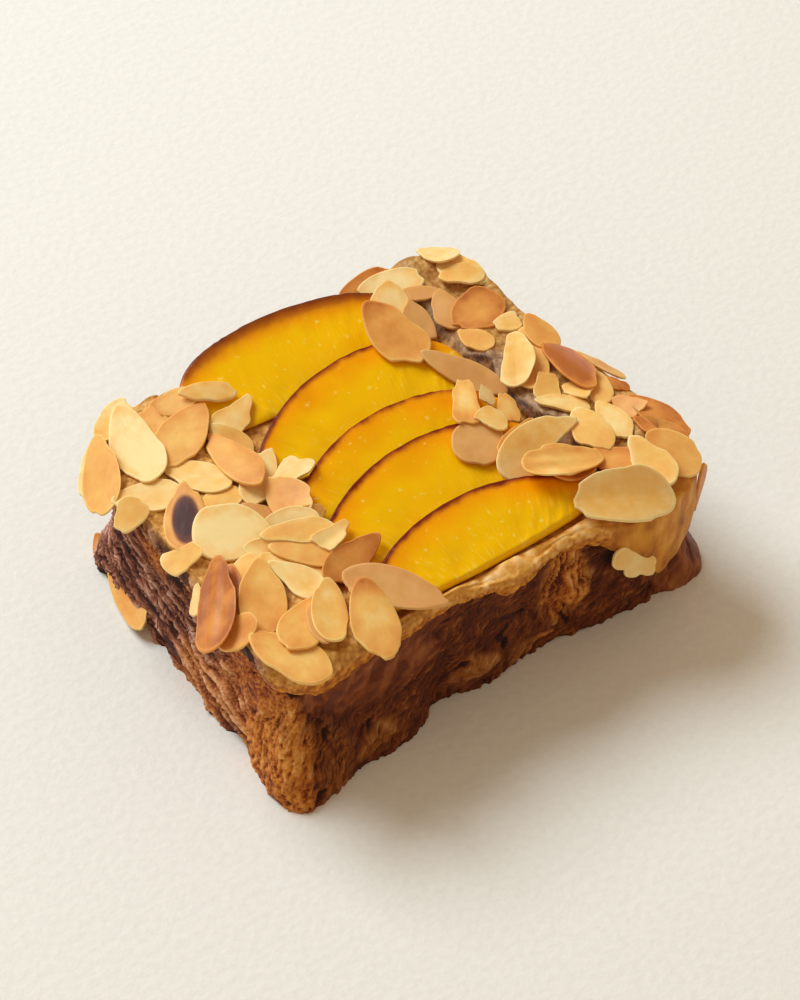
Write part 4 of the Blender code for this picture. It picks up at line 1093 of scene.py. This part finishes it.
def make_flakes(settings):
    """All flaked almonds, each where the one in the solid lies."""
    heights = Heights()
    rng = np.random.default_rng(BAKING_SEED)
    places, faces = [], []
    looks = {"edge": [], "baked": [], "grey": [], "spot": [], "grain": []}
    first = 0
    for number, (*row, bake) in enumerate(FLAKES + STUCK_FLAKES):
        lying = number < len(FLAKES)
        length, width = (row[2], row[3]) if lying else (row[1], row[2])
        reach, spread, lift, share, own = flake_shape(number, length, width)
        if lying:
            place = lying_places(row, heights.rest(tuple(row)), reach, spread, lift)
        else:
            place = stuck_places(row, reach, spread, lift)
        places.append(place)
        faces += flake_faces(first)
        first += len(place)
        baked = BAKED[bake] + rng.uniform(-0.08, 0.1)
        baked = baked + rng.uniform(-0.2, 0.16) * smoothstep(0.95, 0.4, share)
        baked = baked + 0.13 * layered_noise(own, 5.5, 111, 2)
        tip_browning = 0.5 if number in BROWN_TIPPED_FLAKES else rng.uniform(-0.05, 0.12)
        looks["baked"].append(baked + tip_browning * smoothstep(0.35, 1.0, 2 * reach / length))
        # Painted highlight: this marks the rim that is painted paler.
        looks["edge"].append(smoothstep(0.93, 0.985, share))
        looks["grain"].append(own)
        looks["grey"].append(0 * share + (bake == GREY))
        # The scorched oval reaches nearly to the rim, and lies a little towards the blunt end.
        from_scorch = np.hypot((reach + 0.04 * length) / (0.46 * length), spread / (0.44 * width))
        looks["spot"].append(smoothstep(0.95, 0.5, from_scorch) * (bake == SPOTTED))
    looks = {name: np.concatenate(values) for name, values in looks.items()}
    material = flake_material(settings)
    return add_piece("flaked_almonds", np.concatenate(places), faces, looks, material,
                     ["almond_cream", "bread"])


def flake_material(settings):
    """Blanched almond, sliced thin and baked: cream-coloured, dry and a little translucent.

    The thin cut rim is painted paler all round, as a highlight on its bevel. Slices nearest the heat
    turn golden, and the odd one has burnt dark in its middle, where it stood highest.
    """
    material, add = new_material("baked_flaked_almond")
    edge, baked, grey, spot = [
        add("ShaderNodeAttribute", out="Fac", attribute_name=name)
        for name in ("edge", "baked", "grey", "spot")]
    grain = add("ShaderNodeAttribute", out="Vector", attribute_name="grain")
    # Patches that browned alike are 3 mm wide, and growth lines are 0.8 mm apart.
    patches = add("ShaderNodeTexNoise", {"Vector": grain, "Scale": 0.32, "Detail": 2.5})
    lines = add("ShaderNodeMapping", {"Vector": grain, "Scale": (0.5, 1.2, 1.0)})
    lines = add("ShaderNodeTexNoise", {"Vector": lines, "Scale": 1.0, "Detail": 2.0})
    baked = add("ShaderNodeMath", {0: patches, 1: 0.36, 2: baked}, operation="MULTIPLY_ADD")
    baked = add("ShaderNodeMath", {0: lines, 1: settings.grain_strength, 2: baked}, operation="MULTIPLY_ADD")
    # Painted highlight: the rim is painted paler all round, as light along its bevel.
    baked = add("ShaderNodeMath", {0: edge, 1: -0.22, 2: baked}, operation="MULTIPLY_ADD")
    colour = add(
        "ShaderNodeValToRGB", {"Fac": baked},
        stops=((0.08, "#ffdb94"), (0.34, "#f6bd62"), (0.6, "#e9a04b"), (0.85, "#d38136"), (1.0, "#b66425")))
    dull = add("ShaderNodeValToRGB", {"Fac": patches}, stops=((0.3, "#cd8f50"), (0.7, "#e4ac70")))
    dull_share = add("ShaderNodeMath", {0: grey, 1: 0.6}, operation="MULTIPLY")
    colour = add("ShaderNodeMix", {"Factor": dull_share, "A": colour, "B": dull}, data_type="RGBA")
    scorch = add(
        "ShaderNodeValToRGB", {"Fac": spot},
        stops=((0.0, "#f0b964"), (0.25, "#d98e42"), (0.55, "#70361a"), (1.0, "#481c0a")))
    scorch_share = add("ShaderNodeMapRange", {"Value": spot, "From Max": 0.25})
    colour = add("ShaderNodeMix", {"Factor": scorch_share, "A": colour, "B": scorch}, data_type="RGBA")
    bump = add("ShaderNodeBump", {"Height": lines, "Strength": 0.2, "Distance": 0.1 * MM})
    shader = add("ShaderNodeBsdfPrincipled", {
        "Base Color": colour, "Roughness": settings.roughness, "IOR": 1.46, "Specular IOR Level": 0.3,
        "Normal": bump, "Subsurface Weight": 0.3, "Subsurface Radius": (1.0, 0.6, 0.25),
        "Subsurface Scale": 0.8 * MM,
    })
    add("ShaderNodeOutputMaterial", {"Surface": shader})
    return material


PEACH_SIDES = 300
PEACH_RINGS = (
    # margin outside the plan outline, share of the height
    (-0.8, 0.0), (-0.3, 0.12), (0.05, 0.25), (0.25, 0.4), (0.3, 0.55), (0.25, 0.7), (0.12, 0.82),
    (-0.02, 0.91), (-0.2, 0.965), (-0.5, 0.99), (-0.8, 1.0),
)
PEACH_BROWNING = (0.0, 0.7, 0.4, 0.6, 1.0)      # how much wider each skin's dark line is, in mm
PEACH_INSIDE = (0.93, 0.85, 0.76, 0.66, 0.55, 0.44, 0.33, 0.22, 0.11, 0.0)
# How the skin of most slices and of the slice behind has browned. In mm inwards from its arc: where
# it is darkest and palest, and where it is gone and full. Then its tones, from dark to pale.
THIN_SKIN = (0.0, 2.1, 2.0, 0.8, (
    (0.0, "#74250a"), (0.15, "#9a3f0e"), (0.3, "#c8690c"), (0.6, "#e99208"), (1.0, "#fba802")))
BROAD_SKIN = (-0.8, 6.0, 6.0, 2.5, (
    (0.0, "#341108"), (0.16, "#66270c"), (0.36, "#a3500e"), (0.65, "#dd860b"), (1.0, "#f7a404")))


def peach_outline(index, margin, sides):
    """Plan outline of a slice: two arcs whose ends are rounded off."""
    angle = 2 * np.pi * (np.arange(sides) + 0.5) / sides
    across = np.sign(np.cos(angle)) * np.abs(np.cos(angle)) ** 0.55
    x = (PEACH_END + margin) * across
    ends = (1 - np.abs(across) ** PEACH_END_POWER) ** PEACH_END_ROUNDING
    skin = peach_skin_y(index, x) + margin
    stone = peach_stone_y(index, x) - margin
    y = (skin + stone) / 2 + np.sign(np.sin(angle)) * (skin - stone) / 2 * ends
    return x, y


def make_peach(index, settings):
    """One peach slice: soft cut face, thin skin along its arc, and the fibres of the stone's side."""
    rings = []
    for margin, share in PEACH_RINGS:
        x, y = peach_outline(index, margin, PEACH_SIDES)
        under = peach_underside(index, x, y)
        z = under + share * (peach_height(index, x, y) - under)
        rings.append(points(x, y, z))
    x, y = peach_outline(index, PEACH_RINGS[-1][0], PEACH_SIDES)
    middle_y = (peach_skin_y(index, x) + peach_stone_y(index, x)) / 2
    for share in PEACH_INSIDE:
        inside_y = middle_y + share * (y - middle_y)
        rings.append(points(x, inside_y, peach_height(index, x, inside_y)))
    places = np.concatenate(rings)
    x, y, z = places.T
    crest_x, crest_y, radius, _ = PEACHES[index]
    from_skin = peach_skin_y(index, x) - y
    from_stone = y - peach_stone_y(index, x)
    round_arc = np.arctan2(x - crest_x, y - crest_y + radius) * radius
    fibre = points(round_arc, from_skin, 40 * index)
    on_face = smoothstep(-0.4, 1.2, from_skin) * smoothstep(-0.3, 1.0, from_stone)
    on_face = on_face * smoothstep(PEACH_END + 0.2, PEACH_END - 1.0, np.abs(x))
    relief = 0.22 * soft_noise(fibre, (5, 7, 1), 121) + 0.10 * soft_noise(fibre, (1.3, 4, 1), 127)
    stone_side = smoothstep(8, 2, from_stone)
    relief = relief + 0.22 * stone_side * soft_noise(fibre, (0.9, 3.5, 1), 131)
    wrinkle = 0.14 * soft_noise(fibre, (1.1, 0.8, 1), 137) * smoothstep(1.4, 0.2, from_skin)
    places[:, 2] = z + on_face * relief + wrinkle
    faces = band_faces(0, PEACH_SIDES, len(rings))
    faces.append(list(range(PEACH_SIDES))[::-1])
    browned = PEACH_BROWNING[index] * (0.5 + 0.5 * smoothstep(-5, -26, x))
    looks = {
        "from_skin": from_skin - browned, "from_stone": from_stone, "fibre": fibre,
        "burnt": 0 * x + (index == 0), "end": smoothstep(3.0, 0.4, PEACH_END - np.abs(x)),
    }
    node = f"peach_{index + 1}"
    material = bpy.data.materials.get("baked_peach_flesh") or peach_material(settings)
    return add_piece(f"peach_slice_{index + 1}", places, faces, looks, material, [node])


def peach_flesh(add, settings, fibre, from_skin, from_stone):
    """Colour of the flesh, and the clouds and threads in it.

    It is deeper under the skin, paler in threads near the stone, and flecked with painted glints of light.
    """
    # Clouds are 8 mm wide, threads 0.8 mm apart, and painted glints under 2 mm wide.
    cloud = add("ShaderNodeTexNoise", {"Vector": fibre, "Scale": 0.12, "Detail": 2.0})
    threads = add("ShaderNodeMapping", {"Vector": fibre, "Scale": (1.3, 0.3, 1.0)})
    threads = add("ShaderNodeTexNoise", {"Vector": threads, "Scale": 1.0, "Detail": 3.0})
    riper = add("ShaderNodeMapRange", {
        "Value": from_skin, "From Min": 1.0, "From Max": 9.0, "To Min": -0.65, "To Max": 0.5})
    riper = add("ShaderNodeMath", {0: cloud, 1: 1.3, 2: riper}, operation="MULTIPLY_ADD")
    near_stone = add("ShaderNodeMapRange", {"Value": from_stone, "From Min": 11.0, "From Max": 1.0})
    strokes = add("ShaderNodeMapRange", {"Value": threads, "From Min": 0.56, "From Max": 0.7})
    strokes = add("ShaderNodeMath", {0: strokes, 1: near_stone}, operation="MULTIPLY")
    strokes = add("ShaderNodeMath", {0: strokes, 1: 0.3}, operation="MULTIPLY")
    # Painted highlight: pale specks stand in for glints of light on the syrup.
    painted_glint = add("ShaderNodeTexNoise", {"Vector": fibre, "Scale": 0.55, "Detail": 1.0})
    painted_glint = add("ShaderNodeMapRange", {"Value": painted_glint, "From Min": 0.67, "From Max": 0.75})
    painted_glint = add("ShaderNodeMath", {0: painted_glint, 1: 0.5}, operation="MULTIPLY")
    colour = tuple(settings.deep_flesh)
    for share, over in ((riper, tuple(settings.flesh)), (strokes, "#ffe070"), (painted_glint, "#ffe46c")):
        colour = add("ShaderNodeMix", {"Factor": share, "A": colour, "B": over}, data_type="RGBA")
    return colour, cloud, threads


def peach_material(settings):
    """Ripe peach after baking: wet, translucent yellow flesh under a thin dark skin.

    The skin has shrunk to a red-brown line along each arc, and browned most on the slice behind.
    Where it stands upright it keeps a mottled blush. The flesh shines with syrup.
    """
    material, add = new_material("baked_peach_flesh")
    from_skin, from_stone, burnt, end = [
        add("ShaderNodeAttribute", out="Fac", attribute_name=name)
        for name in ("from_skin", "from_stone", "burnt", "end")]
    fibre = add("ShaderNodeAttribute", out="Vector", attribute_name="fibre")
    flesh, cloud, threads = peach_flesh(add, settings, fibre, from_skin, from_stone)

    # The skin's line wavers every 3 to 5 mm.
    wavy = add("ShaderNodeTexNoise", {"Vector": fibre, "Scale": 0.3, "Detail": 2.0})
    skin = add("ShaderNodeTexNoise", {"Vector": fibre, "Scale": 0.2, "Detail": 3.0})
    edge = add("ShaderNodeMath", {0: wavy, 1: -1.2, 2: from_skin}, operation="MULTIPLY_ADD")
    edge = add("ShaderNodeMath", {0: skin, 1: 1.2, 2: edge}, operation="MULTIPLY_ADD")
    skins, shares = [], []
    for darkest, palest, gone, full, stops in (THIN_SKIN, BROAD_SKIN):
        tone = add("ShaderNodeMapRange", {"Value": edge, "From Min": darkest, "From Max": palest})
        tone = add("ShaderNodeValToRGB", {"Fac": tone}, stops=stops)
        shares.append(add("ShaderNodeMapRange", {"Value": edge, "From Min": gone, "From Max": full}))
        skins.append(add("ShaderNodeMix", {"Factor": shares[-1], "A": flesh, "B": tone}, data_type="RGBA"))
    colour = add("ShaderNodeMix", {"Factor": burnt, "A": skins[0], "B": skins[1]}, data_type="RGBA")

    facing = add("ShaderNodeNewGeometry", out="Normal")
    upwards = add("ShaderNodeSeparateXYZ", {"Vector": facing}, out="Z")
    upright = add("ShaderNodeMapRange", {"Value": upwards, "From Min": 0.5, "From Max": 0.2})
    upright = add("ShaderNodeMath", {0: upright, 1: shares[1]}, operation="MULTIPLY")
    place = add("ShaderNodeTexCoord", out="Object")
    blush = add("ShaderNodeTexNoise", {"Vector": place, "Scale": across_mm(9), "Detail": 5.0})
    blush = add("ShaderNodeMapRange", {"Value": blush, "From Min": 0.38, "From Max": 0.7})
    blush = add(
        "ShaderNodeValToRGB", {"Fac": blush},
        stops=((0.0, "#661c0a"), (0.35, "#8a300d"), (0.7, "#ae5213"), (1.0, "#cc7a1c")))
    end_share = add("ShaderNodeMath", {0: end, 1: 0.5}, operation="MULTIPLY")
    for share, over in ((upright, blush), (end_share, "#c97a1a")):
        colour = add("ShaderNodeMix", {"Factor": share, "A": colour, "B": over}, data_type="RGBA")

    dry = add("ShaderNodeMapRange", {"Value": edge, "From Min": 1.2, "From Max": 0.0})
    roughness = add("ShaderNodeMath", {0: dry, 1: 0.22, 2: settings.roughness}, operation="MULTIPLY_ADD")
    height = add("ShaderNodeMath", {0: threads, 1: 0.6, 2: cloud}, operation="MULTIPLY_ADD")
    bump = add("ShaderNodeBump", {"Height": height, "Strength": 0.35, "Distance": 0.35 * MM})
    shader = add("ShaderNodeBsdfPrincipled", {
        "Base Color": colour, "Roughness": roughness, "IOR": 1.40, "Normal": bump,
        "Subsurface Weight": 0.25, "Subsurface Radius": (1.0, 0.5, 0.08), "Subsurface Scale": 1.0 * MM,
        "Specular IOR Level": 0.12, "Coat Weight": 0.1, "Coat Roughness": 0.12, "Coat IOR": 1.38,
    })
    add("ShaderNodeOutputMaterial", {"Surface": shader})
    return material


CAMERA_TURN, CAMERA_HEIGHT = -35.0, 47.0     # degrees
CAMERA_DISTANCE = 0.8
CAMERA_AIM = (12.53, 11.88, 4.76)
CAMERA_LENS = 123.84        # for a picture whose height is that of a full-frame negative on end
CAMERA_PICTURE = 36.0
CAMERA_NEAREST = 0.01
LAMP_TOWARDS = (-0.25, 0.8, 0.9)
FLOOR_REACH = 1.5


def make_stage(settings):
    """Floor of plain paper, one large soft light from behind on the left, and the camera."""
    mesh = bpy.data.meshes.new("floor")
    corners = [(x * FLOOR_REACH, y * FLOOR_REACH, 0) for x, y in ((-1, -1), (1, -1), (1, 1), (-1, 1))]
    mesh.from_pydata(corners, [], [(0, 1, 2, 3)])
    floor = bpy.data.objects.new("floor", mesh)
    bpy.context.scene.collection.objects.link(floor)
    mesh.materials.append(floor_material(settings))

    lamp = bpy.data.lights.new("window", "AREA")
    lamp.shape = "DISK"
    lamp.size = settings.lamp_size
    lamp.energy = settings.lamp_power
    lamp.color = settings.lamp_colour
    window = bpy.data.objects.new("window", lamp)
    towards = np.array(LAMP_TOWARDS) / np.linalg.norm(LAMP_TOWARDS)
    window.location = towards * settings.lamp_distance
    window.rotation_euler = (np.arccos(towards[2]), 0, np.arctan2(towards[0], -towards[1]))
    bpy.context.scene.collection.objects.link(window)

    world = bpy.data.worlds.new("studio")
    world.use_nodes = True
    background = world.node_tree.nodes["Background"]
    background.inputs["Color"].default_value = (*settings.fill_colour, 1.0)
    background.inputs["Strength"].default_value = settings.fill_strength
    bpy.context.scene.world = world

    data = bpy.data.cameras.new("camera")
    data.sensor_fit = "VERTICAL"
    data.sensor_height = CAMERA_PICTURE
    data.lens = CAMERA_LENS
    data.clip_start = CAMERA_NEAREST
    camera = bpy.data.objects.new("camera", data)
    turn, height = np.radians(CAMERA_TURN), np.radians(CAMERA_HEIGHT)
    back = np.array((np.sin(turn) * np.cos(height), -np.cos(turn) * np.cos(height), np.sin(height)))
    aim = np.array(CAMERA_AIM) * MM
    camera.location = aim + back * CAMERA_DISTANCE
    camera.rotation_euler = (np.pi / 2 - height, 0, turn)
    bpy.context.scene.collection.objects.link(camera)
    bpy.context.scene.camera = camera
    bpy.context.scene.view_settings.view_transform = "Standard"
    return floor


def floor_material(settings):
    """Uncoated warm white paper: matt, with a soft tooth whose shading is also painted very faintly into its
    colour.
    """
    material, add = new_material("warm_white_paper")
    place = add("ShaderNodeTexCoord", out="Object")
    # The tooth of such paper is finer than a millimetre. It is drawn 2 mm wide, so that it shows.
    tooth = add("ShaderNodeTexNoise", {"Vector": place, "Scale": across_mm(2.0), "Detail": 2.0})
    # Painted light and shade: the tooth's crests are painted a little lighter and its hollows darker, so that
    # it shows in the shadow.
    shade = add("ShaderNodeMapRange", {
        "Value": tooth, "From Min": 0.35, "From Max": 0.65, "To Min": 0.978, "To Max": 1.014})
    colour = add("ShaderNodeVectorMath", {0: tuple(settings.floor_colour), "Scale": shade}, operation="SCALE")
    bump = add("ShaderNodeBump", {"Height": tooth, "Strength": 0.5, "Distance": 0.3 * MM})
    shader = add("ShaderNodeBsdfPrincipled", {
        "Base Color": colour, "Roughness": 0.85, "IOR": 1.45, "Normal": bump,
    })
    add("ShaderNodeOutputMaterial", {"Surface": shader})
    return material


def length_of(name, description, default, low, high):
    """A size in metres that a user can change."""
    return bpy.props.FloatProperty(
        name=name, description=description, default=default, min=low, max=high, unit="LENGTH", precision=5)


def share_of(name, description, default):
    """A share from 0 to 1 that a user can change."""
    return bpy.props.FloatProperty(
        name=name, description=description, default=default, min=0.0, max=1.0, subtype="FACTOR")


def colour_of(name, description, hex_colour, size=4):
    """A colour that a user can change."""
    return bpy.props.FloatVectorProperty(
        name=name, description=description, default=linear(hex_colour)[:size], size=size, min=0.0, max=1.0,
        subtype="COLOR")


class BreadSettings(bpy.types.PropertyGroup):
    """Sizes and finish of the bread"""

    strand_depth: length_of("Strand depth", "How deep the torn strands go into the side", 1.7 * MM, 0, 3 * MM)
    glaze: share_of("Glaze", "Thin coat of syrup on the crumb", 0.08)


class CreamSettings(bpy.types.PropertyGroup):
    """Sizes and finish of the almond cream"""

    grain_height: length_of("Grain height", "Height of the crumbly grain", 0.8 * MM, 0, 2 * MM)
    raggedness: length_of("Raggedness", "How far the lower edge strays", 0.9 * MM, 0, 3 * MM)
    cream_roughness: share_of("Roughness", "Roughness of the baked cream", 0.55)


class FlakeSettings(bpy.types.PropertyGroup):
    """Finish of the flaked almonds"""

    grain_strength: share_of("Grain", "How strongly the growth lines show", 0.12)
    roughness: share_of("Roughness", "Roughness of the almond", 0.48)


class PeachSettings(bpy.types.PropertyGroup):
    """Colours and finish of the peach slices"""

    flesh: colour_of("Flesh", "Colour of the flesh", "#ffc000")
    deep_flesh: colour_of("Deep flesh", "Colour of its darker clouds", "#ffa200")
    roughness: share_of("Roughness", "Roughness of the wet flesh", 0.3)


class StageSettings(bpy.types.PropertyGroup):
    """The floor, the lamp and the light from all round"""

    floor_colour: colour_of("Floor", "Colour of the paper", "#efe8d9", 3)
    lamp_colour: colour_of("Lamp", "Colour of the window light", "#dfefff", 3)
    lamp_size: length_of("Lamp size", "Diameter of the light", 1.28, 0.05, 5.0)
    lamp_distance: length_of("Lamp distance", "Distance of the light", 2.2, 0.3, 10.0)
    lamp_power: bpy.props.FloatProperty(
        name="Lamp power", description="Power of the light", default=52.5, min=0.0, unit="POWER")
    fill_colour: colour_of("Fill", "Colour of the light from all round", "#fde9cf", 3)
    fill_strength: bpy.props.FloatProperty(
        name="Fill strength", description="Strength of the light from all round", default=0.475, min=0.0)


class BOSTOCK_OT_bread(bpy.types.Operator):
    """Make the slice of bread"""

    bl_idname = "bostock.bread"
    bl_label = "Bread"

    def execute(self, context):
        make_bread(context.scene.bostock_bread)
        return {"FINISHED"}


class BOSTOCK_OT_cream(bpy.types.Operator):
    """Spread the almond cream over the bread"""

    bl_idname = "bostock.cream"
    bl_label = "Almond cream"

    def execute(self, context):
        make_cream(context.scene.bostock_cream)
        return {"FINISHED"}


class BOSTOCK_OT_peaches(bpy.types.Operator):
    """Lay the five peach slices"""

    bl_idname = "bostock.peaches"
    bl_label = "Peach slices"

    def execute(self, context):
        for index in range(len(PEACHES)):
            make_peach(index, context.scene.bostock_peaches)
        return {"FINISHED"}


class BOSTOCK_OT_flakes(bpy.types.Operator):
    """Scatter the flaked almonds"""

    bl_idname = "bostock.flakes"
    bl_label = "Flaked almonds"

    def execute(self, context):
        make_flakes(context.scene.bostock_flakes)
        return {"FINISHED"}


class BOSTOCK_OT_stage(bpy.types.Operator):
    """Set up the floor, the light and the camera"""

    bl_idname = "bostock.stage"
    bl_label = "Stage"

    def execute(self, context):
        make_stage(context.scene.bostock_stage)
        return {"FINISHED"}


class BOSTOCK_PT_panel(bpy.types.Panel):
    """Bostock"""

    bl_idname = "BOSTOCK_PT_panel"
    bl_label = "Bostock"
    bl_space_type = "VIEW_3D"
    bl_region_type = "UI"
    bl_category = "Bostock"

    def draw(self, context):
        for name, (group, operator) in PIECES.items():
            box = self.layout.box()
            settings = getattr(context.scene, name)
            for property_name in group.__annotations__:
                box.prop(settings, property_name)
            box.operator(operator.bl_idname)


PIECES = {
    "bostock_bread": (BreadSettings, BOSTOCK_OT_bread),
    "bostock_cream": (CreamSettings, BOSTOCK_OT_cream),
    "bostock_peaches": (PeachSettings, BOSTOCK_OT_peaches),
    "bostock_flakes": (FlakeSettings, BOSTOCK_OT_flakes),
    "bostock_stage": (StageSettings, BOSTOCK_OT_stage),
}


def register():
    """Add the settings, operators and panel to Blender."""
    for name, (group, operator) in PIECES.items():
        bpy.utils.register_class(group)
        bpy.utils.register_class(operator)
        setattr(bpy.types.Scene, name, bpy.props.PointerProperty(type=group))
    bpy.utils.register_class(BOSTOCK_PT_panel)


def unregister():
    """Take them out again."""
    bpy.utils.unregister_class(BOSTOCK_PT_panel)
    for name, (group, operator) in reversed(PIECES.items()):
        delattr(bpy.types.Scene, name)
        bpy.utils.unregister_class(operator)
        bpy.utils.unregister_class(group)


def main():
    """Make every piece and the stage."""
    register()
    for _, operator in PIECES.values():
        group, name = operator.bl_idname.split(".")
        getattr(getattr(bpy.ops, group), name)()


if __name__ == "__main__":
    main()
